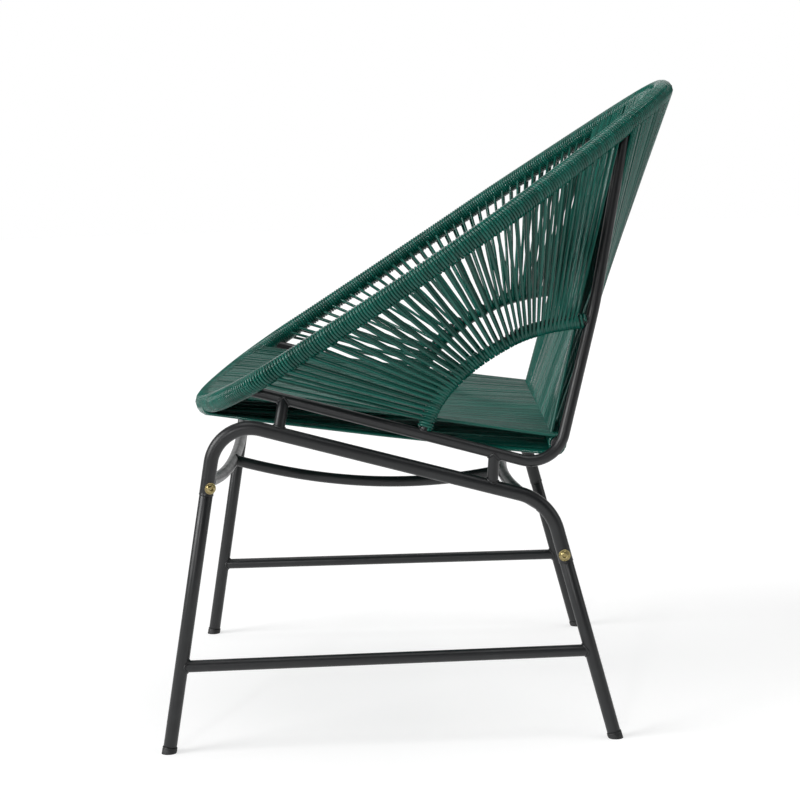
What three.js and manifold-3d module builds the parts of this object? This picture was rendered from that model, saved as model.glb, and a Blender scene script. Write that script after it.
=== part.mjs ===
// Woven cord lounge chair: a tilted oval rim wound with round cord, strung to two side arches,
// to a rear cross tube and back to itself, on a bolted tube base with four legs.
// Millimetres, +Z up, the sitter faces -X, the sitter's left is -Y. The floor is Z = 0.
import * as THREE from "three";
import { mergeVertices } from "three/addons/utils/BufferGeometryUtils.js";
import Module from "manifold-3d";

const wasm = await Module();
wasm.setup();

// Clearance between pieces that touch, how far a cutting tool runs past what it cuts, and how close
// two points are that become one
const pieceGap = 0.3;
const cutOverrun = 2;
const weldDistance = 1e-4;

// Cord and tube sections
const cordDiameter = 4.3;
const rimTubeDiameter = 19;
const railDiameter = 15;
const archTubeDiameter = 12.7;
const crossTubeDiameter = 16;
const baseTubeDiameter = 19;
const legDiameter = 18;
const stretcherDiameter = 16;
const crossbarDiameter = 16;
const braceDiameter = 15.5;
const postDiameter = 15;
const tubeWall = 1.5;

// Rim: a flat oval seen along its axis of symmetry, from its front tip to its top
const rimFrontX = -260;
const rimFrontHeight = 434;
const rimTopX = 408;
const rimTopHeight = 859;
const rimSag = 6;
const rimHalfWidth = 338;
// How far along the rim's length, and how wide there, as shares of its length and half width
const rimOutlineShares = [
  [0.017, 0.35], [0.067, 0.7], [0.146, 0.9], [0.25, 0.95], [0.371, 0.985], [0.5, 1],
  [0.629, 0.955], [0.75, 0.81], [0.854, 0.635], [0.933, 0.45], [0.983, 0.25],
];
// The rim is built in this many straight steps, and the rails meet it at two of them
const rimStations = 78;
const railFrontStation = 10;
const uprightTopStation = 32;
// The front winding reaches this many steps past the rails, so that each rail leaves through its middle
const railWindingSteps = 1;

// Side rail: it leaves the rim, runs down to the rear and turns up into the back's upright
const railCornerX = 225;
const railCornerHeight = 366;
// How far the rails' corners are inside the rim's widest place
const railCornerInset = 26;
const railCornerHalfWidth = rimHalfWidth - railCornerInset;
const railCornerRadius = 46;
const uprightKneeX = 284;
const uprightKneeHeight = 575;
const uprightKneeRadius = 500;
// Where the upright's knee lies between its lower corner and the rim, as a share of its lean
const uprightKneeLeanShare = 0.43;

// Arch between the rail and the upright
const archFootX = 51;
const archTopRise = 190;
// How far the winding's straight steps cut inside the arch's curve
const archStepSag = 0.6;
// The arch's rise as shares of its run and of its height
const archShares = [
  [0.067, 0.237], [0.13, 0.38], [0.219, 0.525], [0.34, 0.676], [0.58, 0.878], [0.817, 0.971],
];

// Rear cross tube between the two rail corners
const crossTubeX = 229;
const crossTubeRise = 31;
// How far short of the rails' axes the cross tube ends
const crossTubeInset = 6;

// Base: two bent tubes with a socket at each end, for the legs. The insets are how far the feet and the
// corners are inside the rim's widest place.
const frontFootX = -297;
const frontFootInset = 11;
const rearFootX = 298;
const rearFootInset = 26;
const frontCornerX = -217;
const frontCornerInset = 26;
const frontCornerRadius = 53;
const rearCornerX = 216;
const rearCornerInset = 32;
const rearCornerRadius = 70;
// How far the corners are under the rails, and the sockets' mouths under the corners
const frontCornerDrop = 44.3;
const rearCornerDrop = 46.5;
const frontSocketDrop = 101;
const rearSocketDrop = 82;
const spigotLength = 40;

// Crossbars and the brace between them
const frontCrossbarRise = 19;
const frontCrossbarDip = 23;
const frontCrossbarSetBack = 7;
const rearCrossbarDip = 8;
const rearCrossbarBow = 40;
const braceControlX = -20;
const braceControlDip = 62;

// Seat posts between the rails and the base tubes
const frontPostRailX = -130;
const frontPostBaseX = -138;
const rearPostRailX = 145;
const rearPostBaseX = 141;
// How far short of the rail's axis a post ends
const postTopInset = 3.5;

// Stretchers between the front and rear legs
const stretcherFrontHeight = 116;
const stretcherRearHeight = 120;

// Glides under the legs
const glideDiameter = 20;
const glideHeight = 9;
const glidePlugLength = 18;

// Leg bolts and the nuts inside the legs
const boltRise = 11;
const boltHeadDiameter = 15.5;
const boltHeadHeight = 4.6;
const boltFlangeThickness = 1.4;
const boltShankDiameter = 6;
const boltReach = 13;
const boltSocketDiameter = 5;
const boltSocketDepth = 2.4;
// Where the head's dome breaks, as shares of its radius and of its height
const boltCrownWidthShare = 0.78;
const boltCrownHeightShare = 0.75;
const boltHoleClearance = 0.3;
const frontBoltTurnDegrees = 28;
const nutDiameter = 9.6;
const nutThickness = 4;

// Seat and back: bands of touching cords in two layers, each rib for a few cords, and a narrow gap
// between one band and the next. The back has one band for each step of the rim.
const seatBandsPerLayer = 8;
const seatRibsPerBand = 4;
const backRibsPerBand = 2;
const bandGap = 2;
// How far the back's bands end from the seat's winding
const bandEndGap = 1;
// Sides: pairs of strands, outside and inside, each strand two cords wide
const fans = [{ name: "front", pairs: 6 }, { name: "middle", pairs: 6 }, { name: "rear", pairs: 5 }];
const cordsPerStrand = 2;
// How much of the cord's diameter the grooves of the winding go in
const grooveShare = 0.36;

// Steps along curves and sides round sections
const arcSteps = 8;
const archSteps = 20;
const fanSteps = 3;
const bowSteps = 14;
const rimMeasureSteps = 2000;
const widthHalvings = 40;
const flatWindingSides = 8;
const ribbedWindingSides = 6;
const tubeSides = 12;
const smallTubeSides = 10;
const fewTubeSides = 8;

// Where the cords of each panel start and end, as shares of what they run along
const seatUpperSpreadShare = 0.875;
const seatLowerSpreadShare = 0.55;
const backSpreadShare = 0.93;
const fanRimMarginShare = 0.012;
const fanArchFromShare = 0.09;
const fanArchToShare = 0.93;
const backRimMarginShare = 0.045;

const vec = (x, y, z) => new THREE.Vector3(x, y, z);
const up = vec(0, 0, 1);
const down = vec(0, 0, -1);
const forward = vec(-1, 0, 0);
const rearward = vec(1, 0, 0);
const lateral = vec(0, 1, 0);
const lerp = THREE.MathUtils.lerp;
const sides = [{ name: "left", sign: -1 }, { name: "right", sign: 1 }];

// Materials
const material = (color, roughness, metalness) =>
  new THREE.MeshStandardMaterial({ color, roughness, metalness });
const cordMaterial = () => material(0x1f5448, 0.35, 0);
const frameMaterial = () => material(0x23262a, 0.45, 0.2);
const boltMaterial = () => material(0xb9a878, 0.35, 0.9);
const glideMaterial = () => material(0x17181a, 0.7, 0);

// Solids from geometries, and back

function solidFrom(geometry) {
  const bare = new THREE.BufferGeometry();
  bare.setAttribute("position", geometry.getAttribute("position"));
  if (geometry.index) bare.setIndex(geometry.index);
  const merged = mergeVertices(bare, weldDistance);
  const positions = new Float32Array(merged.getAttribute("position").array);
  const triangles = new Uint32Array(merged.index.array);
  if (signedVolume(positions, triangles) < 0) turnTriangles(triangles);
  return new wasm.Manifold(new wasm.Mesh({ numProp: 3, vertProperties: positions, triVerts: triangles }));
}

function signedVolume(positions, triangles) {
  const corner = [vec(0, 0, 0), vec(0, 0, 0), vec(0, 0, 0)];
  let sum = 0;
  for (let i = 0; i < triangles.length; i += 3) {
    for (let k = 0; k < 3; k += 1) corner[k].fromArray(positions, 3 * triangles[i + k]);
    sum += corner[0].dot(corner[1].clone().cross(corner[2]));
  }
  return sum / 6;
}

function turnTriangles(triangles) {
  for (let i = 0; i < triangles.length; i += 3) {
    const second = triangles[i + 1];
    triangles[i + 1] = triangles[i + 2];
    triangles[i + 2] = second;
  }
}

function geometryFrom(solid) {
  const mesh = solid.getMesh();
  const geometry = new THREE.BufferGeometry();
  const positions = new Float32Array(mesh.numVert * 3);
  for (let i = 0; i < mesh.numVert; i += 1) {
    for (let k = 0; k < 3; k += 1) positions[3 * i + k] = mesh.vertProperties[mesh.numProp * i + k];
  }
  geometry.setAttribute("position", new THREE.BufferAttribute(positions, 3));
  geometry.setIndex(new THREE.BufferAttribute(new Uint32Array(mesh.triVerts), 1));
  geometry.computeVertexNormals();
  return geometry;
}

const chair = new THREE.Group();
chair.name = "chair";

function addPiece(name, solid, material) {
  const mesh = new THREE.Mesh(geometryFrom(solid), material);
  mesh.name = name;
  chair.add(mesh);
  return mesh;
}

// Curves

// A run of straight lines whose corners are rounded by arcs
function roundedRun(points, radii) {
  const path = new THREE.CurvePath();
  let from = points[0];
  for (let i = 1; i < points.length - 1; i += 1) {
    const inward = points[i - 1].clone().sub(points[i]).normalize();
    const outward = points[i + 1].clone().sub(points[i]).normalize();
    const halfAngle = Math.acos(THREE.MathUtils.clamp(inward.dot(outward), -1, 1)) / 2;
    const back = radii[i - 1] / Math.tan(halfAngle);
    const start = points[i].clone().addScaledVector(inward, back);
    const end = points[i].clone().addScaledVector(outward, back);
    const middleWay = inward.clone().add(outward).normalize();
    const centre = points[i].clone().addScaledVector(middleWay, radii[i - 1] / Math.sin(halfAngle));
    path.add(new THREE.LineCurve3(from, start));
    path.add(new Arc(centre, start, end));
    from = end;
  }
  path.add(new THREE.LineCurve3(from, points[points.length - 1]));
  return path;
}

class Arc extends THREE.Curve {
  constructor(centre, start, end) {
    super();
    this.centre = centre;
    this.first = start.clone().sub(centre);
    this.last = end.clone().sub(centre);
    this.angle = this.first.angleTo(this.last);
  }
  getPoint(t, target = vec(0, 0, 0)) {
    const sine = Math.sin(this.angle);
    target.copy(this.first).multiplyScalar(Math.sin((1 - t) * this.angle) / sine);
    target.addScaledVector(this.last, Math.sin(t * this.angle) / sine);
    return target.add(this.centre);
  }
}

// Points along a rounded run: the ends of its straight lines, and steps through its arcs
class Polyline extends THREE.Curve {
  constructor(path, arcSteps) {
    super();
    this.points = [];
    for (const part of path.curves) {
      const steps = part instanceof Arc ? arcSteps : 1;
      for (let i = 0; i < steps; i += 1) this.points.push(part.getPoint(i / steps));
    }
    this.points.push(path.curves[path.curves.length - 1].getPoint(1));
  }
  get steps() {
    return this.points.length - 1;
  }
  getPoint(t, target = vec(0, 0, 0)) {
    const place = Math.min(t * this.steps, this.steps);
    const index = Math.min(Math.floor(place), this.steps - 1);
    return target.lerpVectors(this.points[index], this.points[index + 1], place - index);
  }
  getSpacedPoints() {
    return this.points.map((point) => point.clone());
  }
  getTangentAt(t, target = vec(0, 0, 0)) {
    const index = Math.round(t * this.steps);
    const before = this.points[Math.max(index - 1, 0)];
    const after = this.points[Math.min(index + 1, this.steps)];
    return target.copy(after).sub(before).normalize();
  }
}

// Tubes and bars

function roundShape(radius, count) {
  const shape = new THREE.Shape();
  for (let i = 0; i < count; i += 1) {
    const angle = (i / count) * 2 * Math.PI;
    if (i === 0) shape.moveTo(radius, 0);
    else shape.lineTo(radius * Math.cos(angle), radius * Math.sin(angle));
  }
  return shape;
}

function tubeAlong(curve, radius, steps, count = tubeSides) {
  return solidFrom(new THREE.ExtrudeGeometry(roundShape(radius, count), { steps, extrudePath: curve }));
}

function barBetween(from, to, radius, count = tubeSides) {
  const length = from.distanceTo(to);
  const geometry = new THREE.CylinderGeometry(radius, radius, length, count);
  const way = to.clone().sub(from).normalize();
  geometry.applyQuaternion(new THREE.Quaternion().setFromUnitVectors(vec(0, 1, 0), way));
  const middle = from.clone().lerp(to, 0.5);
  geometry.translate(middle.x, middle.y, middle.z);
  return solidFrom(geometry);
}

// A profile of [radius, distance] pairs turned round the line that leaves a point one way
function turned(profile, origin, way, count = tubeSides) {
  const points = profile.map(([radius, distance]) => new THREE.Vector2(radius, distance));
  const geometry = new THREE.LatheGeometry(points, count);
  geometry.applyQuaternion(new THREE.Quaternion().setFromUnitVectors(vec(0, 1, 0), way));
  geometry.translate(origin.x, origin.y, origin.z);
  return solidFrom(geometry);
}

// Rings of points joined one to the next, and the last to the first
function joinedRings(rings) {
  const count = rings[0].length;
  const positions = new Float32Array(rings.flat().flatMap((point) => point.toArray()));
  const index = [];
  for (let i = 0; i < rings.length; i += 1) {
    const next = (i + 1) % rings.length;
    for (let k = 0; k < count; k += 1) {
      const turn = (k + 1) % count;
      const a = i * count + k;
      const b = i * count + turn;
      const c = next * count + k;
      const d = next * count + turn;
      index.push(a, b, c, b, d, c);
    }
  }
  const geometry = new THREE.BufferGeometry();
  geometry.setAttribute("position", new THREE.BufferAttribute(positions, 3));
  geometry.setIndex(index);
  return solidFrom(geometry);
}

// Two rings of as many points, joined side by side and closed at both ends
function lofted(startRing, endRing) {
  const count = startRing.length;
  const index = [];
  for (let k = 0; k < count; k += 1) {
    const next = (k + 1) % count;
    index.push(k, next, count + k, next, count + next, count + k);
  }
  const across = startRing[count - 2].clone().sub(startRing[count - 1]).normalize();
  const rise = startRing[0].clone().sub(startRing[count - 1]).normalize();
  const flat = startRing.map((point) => new THREE.Vector2(point.dot(across), point.dot(rise)));
  const clockwise = THREE.ShapeUtils.isClockWise(flat);
  for (const [a, b, c] of THREE.ShapeUtils.triangulateShape(flat, [])) {
    const [second, third] = clockwise ? [b, c] : [c, b];
    index.push(a, second, third, count + a, count + third, count + second);
  }
  const positions = new Float32Array([...startRing, ...endRing].flatMap((point) => point.toArray()));
  const geometry = new THREE.BufferGeometry();
  geometry.setAttribute("position", new THREE.BufferAttribute(positions, 3));
  geometry.setIndex(index);
  return solidFrom(geometry);
}

function ringAt(point, tangent, reference, radius, count) {
  const first = reference.clone().addScaledVector(tangent, -reference.dot(tangent)).normalize();
  const second = tangent.clone().cross(first);
  const ring = [];
  for (let k = 0; k < count; k += 1) {
    const angle = ((k + 0.5) / count) * 2 * Math.PI;
    const spot = point.clone().addScaledVector(first, radius * Math.cos(angle));
    ring.push(spot.addScaledVector(second, radius * Math.sin(angle)));
  }
  return ring;
}

// Rim outline

const rimFront = vec(rimFrontX, 0, rimFrontHeight);
const rimTop = vec(rimTopX, 0, rimTopHeight);
const rimWay = rimTop.clone().sub(rimFront).normalize();
const rimNormal = vec(-rimWay.z, 0, rimWay.x);

function rimPlace(along, width) {
  const point = rimFront.clone().lerp(rimTop, along);
  point.addScaledVector(rimNormal, -4 * rimSag * along * (1 - along));
  return point.setY(width * rimHalfWidth);
}

const rimLeft = rimOutlineShares.map(([along, width]) => rimPlace(along, -width));
const rimRight = rimOutlineShares.map(([along, width]) => rimPlace(along, width)).reverse();
const rimLoop = new THREE.CatmullRomCurve3([rimFront, ...rimLeft, rimTop, ...rimRight], true, "centripetal");
rimLoop.arcLengthDivisions = rimMeasureSteps;

const turnShare = (share) => ((share % 1) + 1) % 1;
const rimPoint = (share) => rimLoop.getPointAt(turnShare(share));
const rimTangent = (share) => rimLoop.getTangentAt(turnShare(share));
const rimSideShare = (sign, share) => (sign < 0 ? share : 1 - share);

const rimTubeRadius = rimTubeDiameter / 2;

function rimTube(radius) {
  const rings = [];
  for (let i = 0; i < rimStations; i += 1) {
    const share = i / rimStations;
    rings.push(ringAt(rimPoint(share), rimTangent(share), rimNormal, radius, fewTubeSides));
  }
  return joinedRings(rings);
}

const rimCutter = rimTube(rimTubeRadius + pieceGap);
addPiece("rim_hoop", rimTube(rimTubeRadius), frameMaterial());

// Side rails with their uprights

const railRadius = railDiameter / 2;
const railFrontShare = railFrontStation / rimStations;
const uprightTopShare = uprightTopStation / rimStations;

// Where the rail leaves the rim, turns up, leans in and meets the rim again
function railCorners(sign) {
  const front = rimPoint(rimSideShare(sign, railFrontShare));
  const top = rimPoint(rimSideShare(sign, uprightTopShare));
  const corner = vec(railCornerX, sign * railCornerHalfWidth, railCornerHeight);
  const kneeWidth = lerp(railCornerHalfWidth, Math.abs(top.y), uprightKneeLeanShare);
  return { front, corner, knee: vec(uprightKneeX, sign * kneeWidth, uprightKneeHeight), top };
}

// The rail's axis where it passes a given place along X, on its run down to the rear
function onRail(sign, x) {
  const { front, corner } = railCorners(sign);
  return front.clone().lerp(corner, (x - front.x) / (corner.x - front.x));
}

// The upright's axis at a given height, between the rail's corner and the knee
function onUpright(sign, height) {
  const { corner, knee } = railCorners(sign);
  return corner.clone().lerp(knee, (height - corner.z) / (knee.z - corner.z));
}

const railCutters = {};
for (const { name, sign } of sides) {
  const { front, corner, knee, top } = railCorners(sign);
  const run = roundedRun([front, corner, knee, top], [railCornerRadius, uprightKneeRadius]);
  const path = new Polyline(run, arcSteps);
  const rail = tubeAlong(path, railRadius, path.steps, smallTubeSides);
  railCutters[name] = tubeAlong(path, railRadius + pieceGap, path.steps, smallTubeSides);
  addPiece(`${name}_side_rail`, rail.subtract(rimCutter), frameMaterial());
}

function withoutRails(solid) {
  return sides.reduce((rest, { name }) => rest.subtract(railCutters[name]), solid);
}

// Arches

const archTubeRadius = archTubeDiameter / 2;
const archCurves = {};
for (const { name, sign } of sides) {
  const foot = onRail(sign, archFootX);
  const end = onUpright(sign, railCornerHeight + archTopRise);
  const points = archShares.map(([run, rise]) =>
    vec(lerp(foot.x, end.x, run), lerp(foot.y, end.y, rise), lerp(foot.z, end.z, rise)));
  archCurves[name] = new THREE.CatmullRomCurve3([foot, ...points, end], false, "centripetal");
  const arch = tubeAlong(archCurves[name], archTubeRadius, archSteps, smallTubeSides);
  addPiece(`${name}_arch_hoop`, arch.subtract(railCutters[name]), frameMaterial());
}

// Cross tube

const crossTubeRadius = crossTubeDiameter / 2;
const crossTubeHeight = railCornerHeight + crossTubeRise;
const crossTubeHalfLength = railCornerHalfWidth - crossTubeInset;
const crossEnd = (sign) => vec(crossTubeX, sign * crossTubeHalfLength, crossTubeHeight);
const crossTube = barBetween(crossEnd(-1), crossEnd(1), crossTubeRadius);
addPiece("rear_cross_tube", withoutRails(crossTube), frameMaterial());

// Windings: a sleeve with a bore, ribbed as the turns of cord are, or with flat sides where cords leave it

const cordHalfSide = (cordDiameter / 2) * Math.sqrt(Math.PI / 4);

// How much further out the corners of a many-sided ring lie than the middles of its sides
const cornerRatio = (count) => 1 / Math.cos(Math.PI / count);

function windingRadii(coreRadius) {
  const inner = coreRadius + pieceGap;
  const crest = inner + cordDiameter;
  return {
    inner,
    under: inner + cordDiameter / 2 - cordHalfSide,
    middle: inner + cordDiameter / 2,
    crest,
    valley: crest - cordDiameter * grooveShare,
    flatSided: (crest + pieceGap) * cornerRatio(flatWindingSides),
  };
}

function windingSleeve(frameAt, stations, coreRadius, ribbed) {
  const radii = windingRadii(coreRadius);
  const count = ribbed ? ribbedWindingSides : flatWindingSides;
  const bore = radii.inner * cornerRatio(count);
  const last = stations.length - 1;
  const ring = (share, radius, shift) => {
    const { point, tangent, reference } = frameAt(share);
    const moved = point.clone().addScaledVector(tangent, shift);
    return ringAt(moved, tangent, reference, radius, count);
  };
  const endShift = (i) => (i === 0 ? pieceGap / 2 : i === last ? -pieceGap / 2 : 0);
  const rings = [];
  for (let i = 0; i <= last; i += 1) {
    rings.push(ring(stations[i], ribbed ? radii.valley : radii.flatSided, endShift(i)));
    if (ribbed && i < last) rings.push(ring((stations[i] + stations[i + 1]) / 2, radii.crest, 0));
  }
  for (let i = last; i >= 0; i -= 1) rings.push(ring(stations[i], bore, endShift(i)));
  return joinedRings(rings);
}

function stationShares(from, to, count) {
  const shares = [];
  for (let i = 0; i <= count; i += 1) shares.push(lerp(from, to, i / count));
  return shares;
}

// The direction square to a tube and to a cord that leaves it, on the side asked for
function squareTo(tangent, way, outward) {
  const normal = tangent.clone().cross(way).normalize();
  return normal.dot(outward) < 0 ? normal.negate() : normal;
}

// A straight stretch of cord on one side of two tubes. It starts inside the winding of the first
// tube and stops just short of the winding of the second.
function stretchBetween(start, end, outward, width) {
  const way = end.point.clone().sub(start.point).normalize();
  const beside = ({ point, tangent, radius }) =>
    point.clone().addScaledVector(squareTo(tangent, way, outward), windingRadii(radius).middle);
  const from = beside(start);
  const to = beside(end);
  const along = to.clone().sub(from).normalize();
  const sine = end.tangent.clone().cross(along).length();
  const cosine = Math.abs(end.tangent.dot(along));
  const clear = Math.sqrt((end.winding + pieceGap) ** 2 - windingRadii(end.radius).under ** 2);
  to.addScaledVector(along, -(clear + (width / 2) * cosine) / sine);
  const normal = squareTo(start.tangent, along, outward);
  return { from, to, along, normal, endNormal: squareTo(end.tangent, along, outward) };
}

// A strand: a few cords side by side, as one flat bar
function cordStrand(start, end, outward) {
  const width = cordsPerStrand * cordDiameter;
  const { from, to, along, normal } = stretchBetween(start, end, outward, width);
  const length = from.distanceTo(to);
  const bar = new THREE.BoxGeometry(2 * cordHalfSide, length, width);
  bar.translate(0, length / 2, 0);
  const basis = new THREE.Matrix4().makeBasis(normal, along, normal.clone().cross(along));
  bar.applyMatrix4(basis.setPosition(from));
  return solidFrom(bar);
}

// A band: touching cords side by side, ribbed on its outer face and flat on its inner one.
// startAt and endAt give the places of its two ends on the two tubes, from edge to edge.
function cordBand(startAt, endAt, outward, ribs) {
  const crest = cordDiameter / 2;
  const valley = crest - cordDiameter * grooveShare;
  const stretchAt = (u) => stretchBetween(startAt(u), endAt(u), outward, 0);
  const startRing = [];
  const endRing = [];
  const addPoint = (u, height) => {
    const { from, to, normal, endNormal } = stretchAt(u);
    startRing.push(from.addScaledVector(normal, height));
    endRing.push(to.addScaledVector(endNormal, height));
  };
  for (let k = 0; k <= 2 * ribs; k += 1) addPoint(k / (2 * ribs), k % 2 ? crest : valley);
  addPoint(1, -cordHalfSide);
  addPoint(0, -cordHalfSide);
  return lofted(startRing, endRing);
}

// Rim windings that carry no panel

const rimFrame = (share) => ({ point: rimPoint(share), tangent: rimTangent(share), reference: rimNormal });
const rimSpot = (share) => ({
  point: rimPoint(share),
  tangent: rimTangent(share),
  radius: rimTubeRadius,
  winding: windingRadii(rimTubeRadius).crest,
});

const frontWindingEnd = railFrontStation + railWindingSteps;
const rimWindings = [
  ["front", -frontWindingEnd, frontWindingEnd],
  ["left", frontWindingEnd, uprightTopStation],
  ["right", rimStations - uprightTopStation, rimStations - frontWindingEnd],
];
for (const [name, from, to] of rimWindings) {
  const shares = stationShares(from / rimStations, to / rimStations, to - from);
  const sleeve = windingSleeve(rimFrame, shares, rimTubeRadius, true);
  addPiece(`rim_winding_${name}`, withoutRails(sleeve), cordMaterial());
}

// Seat: bands above and below, from the cross tube's winding to the rim's front, where the lower ones
// draw together

const crossHalfLength = railCornerHalfWidth - railRadius - crossTubeRadius;
const seatWay = rimFront.clone().sub(vec(crossTubeX, 0, crossTubeHeight)).normalize();
const crossFrame = (share) => ({
  point: vec(crossTubeX, lerp(-crossHalfLength, crossHalfLength, share), crossTubeHeight),
  tangent: lateral,
  reference: squareTo(lateral, seatWay, up),
});
const crossSpot = (y) => ({
  point: vec(crossTubeX, y, crossTubeHeight),
  tangent: lateral,
  radius: crossTubeRadius,
  winding: windingRadii(crossTubeRadius).flatSided + bandEndGap,
});

// The share of the rim, on its front, where it is as far to one side as asked
function rimShareAtWidth(y) {
  let low = 0;
  let high = railFrontShare;
  for (let i = 0; i < widthHalvings; i += 1) {
    const middle = (low + high) / 2;
    if (-rimPoint(middle).y < Math.abs(y)) low = middle;
    else high = middle;
  }
  return y < 0 ? low : 1 - low;
}

// Where a band starts and ends along its panel, as shares of the panel's width
function bandSpan(band, bands, panelWidth) {
  const margin = bandGap / 2 / panelWidth;
  return [band / bands + margin, (band + 1) / bands - margin];
}

let seatCords = withoutRails(windingSleeve(crossFrame, [0, 1], crossTubeRadius, false));
for (let band = 0; band < seatBandsPerLayer; band += 1) {
  const [low, high] = bandSpan(band, seatBandsPerLayer, 2 * crossHalfLength);
  const widthAt = (u) => lerp(-crossHalfLength, crossHalfLength, lerp(low, high, u));
  const startAt = (u) => crossSpot(widthAt(u));
  for (const [outward, spread] of [[up, seatUpperSpreadShare], [down, seatLowerSpreadShare]]) {
    const endAt = (u) => rimSpot(rimShareAtWidth(widthAt(u) * spread));
    seatCords = seatCords.add(cordBand(startAt, endAt, outward, seatRibsPerBand));
  }
}
addPiece("seat_cords", seatCords, cordMaterial());

// Back: bands before and behind, from the rim's top down to the cross tube

const backSteps = rimStations - 2 * uprightTopStation;
const backShares = stationShares(uprightTopShare, 1 - uprightTopShare, backSteps);
const backRimShare = (along) => lerp(uprightTopShare, 1 - uprightTopShare, along);
const backCrossY = (along) => lerp(-1, 1, along) * crossHalfLength * backSpreadShare;

// The rim's winding turned so that one flat side faces the way its cords leave
function backFrame(rimShare) {
  const along = (rimShare - uprightTopShare) / (1 - 2 * uprightTopShare);
  const point = rimPoint(rimShare);
  const tangent = rimTangent(rimShare);
  const way = vec(crossTubeX, backCrossY(along), crossTubeHeight).sub(point);
  return { point, tangent, reference: squareTo(tangent, way, forward) };
}

let backCords = withoutRails(windingSleeve(backFrame, backShares, rimTubeRadius, false));
for (let band = 0; band < backSteps; band += 1) {
  const [low, high] = bandSpan(band, backSteps, 2 * crossHalfLength);
  const from = Math.max(low, backRimMarginShare);
  const to = Math.min(high, 1 - backRimMarginShare);
  const startAt = (u) => rimSpot(backRimShare(lerp(from, to, u)));
  const endAt = (u) => crossSpot(backCrossY(lerp(from, to, u)));
  for (const outward of [forward, rearward]) {
    backCords = backCords.add(cordBand(startAt, endAt, outward, backRibsPerBand));
  }
}
addPiece("back_cords", backCords, cordMaterial());

// Sides: pairs of cords, outside and inside, from each arch's winding up to the rim

const sideCordPairs = fans.reduce((sum, fan) => sum + fan.pairs, 0);

for (const { name, sign } of sides) {
  const curve = archCurves[name];
  const outside = vec(0, sign, 0);
  const pairShare = (i) => lerp(fanArchFromShare, fanArchToShare, i / (sideCordPairs - 1));
  const rimShareFor = (archShare) => {
    const along = (archShare - fanArchFromShare) / (fanArchToShare - fanArchFromShare);
    const margin = fanRimMarginShare;
    return rimSideShare(sign, lerp(railFrontShare + margin, uprightTopShare - margin, along));
  };
  const archFrame = (share) => {
    const point = curve.getPointAt(share);
    const tangent = curve.getTangentAt(share);
    const way = rimPoint(rimShareFor(share)).sub(point);
    return { point, tangent, reference: squareTo(tangent, way, outside) };
  };
  const woundRadius = archTubeRadius + archStepSag;
  const bareShare = railDiameter / curve.getLength();
  let first = 0;
  for (const fan of fans) {
    const next = first + fan.pairs;
    const low = first === 0 ? bareShare : pairShare(first - 0.5);
    const high = next === sideCordPairs ? 1 - bareShare : pairShare(next - 0.5);
    let solid = windingSleeve(archFrame, stationShares(low, high, fanSteps), woundRadius, false);
    for (let i = first; i < next; i += 1) {
      const foot = { ...archFrame(pairShare(i)), radius: woundRadius };
      const head = rimSpot(rimShareFor(pairShare(i)));
      for (const outward of [outside, outside.clone().negate()]) {
        solid = solid.add(cordStrand(foot, head, outward));
      }
    }
    addPiece(`${name}_side_cords_${fan.name}`, solid, cordMaterial());
    first = next;
  }
}

// Base tubes, legs, glides, bolts and nuts

const legRadius = legDiameter / 2;
const baseTubeRadius = baseTubeDiameter / 2;
const legBoreRadius = legRadius - tubeWall;
const socketBoreRadius = baseTubeRadius - tubeWall;
const spigotRadius = socketBoreRadius - pieceGap;
const spigotBoreRadius = spigotRadius - tubeWall;
const glideRadius = glideDiameter / 2;
const boltShankRadius = boltShankDiameter / 2;
const boltHeadRadius = boltHeadDiameter / 2;

const legEnds = [
  { end: "front", footX: frontFootX, footWidth: rimHalfWidth - frontFootInset, cornerX: frontCornerX,
    cornerWidth: rimHalfWidth - frontCornerInset, cornerDrop: frontCornerDrop, socketDrop: frontSocketDrop,
    turn: frontBoltTurnDegrees * THREE.MathUtils.DEG2RAD },
  { end: "rear", footX: rearFootX, footWidth: rimHalfWidth - rearFootInset, cornerX: rearCornerX,
    cornerWidth: rimHalfWidth - rearCornerInset, cornerDrop: rearCornerDrop, socketDrop: rearSocketDrop,
    turn: 0 },
];

// A leg's axis, from the floor to the base tube's corner under the rail, and its socket's mouth on it
function legLine(leg, sign) {
  const foot = vec(leg.footX, sign * leg.footWidth, 0);
  const cornerHeight = onRail(sign, leg.cornerX).z - leg.cornerDrop;
  const corner = vec(leg.cornerX, sign * leg.cornerWidth, cornerHeight);
  const at = (height) => foot.clone().lerp(corner, height / corner.z);
  const socketHeight = cornerHeight - leg.socketDrop;
  return { foot, corner, at, socketHeight, way: corner.clone().sub(foot).normalize() };
}

const baseLines = {};
for (const { name, sign } of sides) {
  baseLines[name] = { front: legLine(legEnds[0], sign), rear: legLine(legEnds[1], sign) };
}

// The base tube's axis where it passes a given place along X, on its straight run
function onBaseTube(name, x) {
  const { front, rear } = baseLines[name];
  return front.corner.clone().lerp(rear.corner, (x - front.corner.x) / (rear.corner.x - front.corner.x));
}

// The way out of a leg's bolt: sideways, square to the leg and turned round it
function boltWay(line, sign, turn) {
  const way = vec(0, sign, 0);
  way.addScaledVector(line.way, -way.dot(line.way)).normalize();
  return way.applyAxisAngle(line.way, -sign * turn);
}

const glideProfile = (glideTop, plugRadius) => [
  [0, -glideRadius], [glideRadius, -glideRadius], [glideRadius, glideTop], [plugRadius, glideTop],
  [plugRadius, glideTop + glidePlugLength], [0, glideTop + glidePlugLength],
];

function legProfile(length) {
  const shoulder = length - pieceGap;
  const tip = length + spigotLength;
  return [
    [legBoreRadius, glideHeight], [legRadius, glideHeight], [legRadius, shoulder], [spigotRadius, shoulder],
    [spigotRadius, tip], [spigotBoreRadius, tip], [spigotBoreRadius, length],
    [legBoreRadius, length - legRadius], [legBoreRadius, glideHeight],
  ];
}

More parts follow.
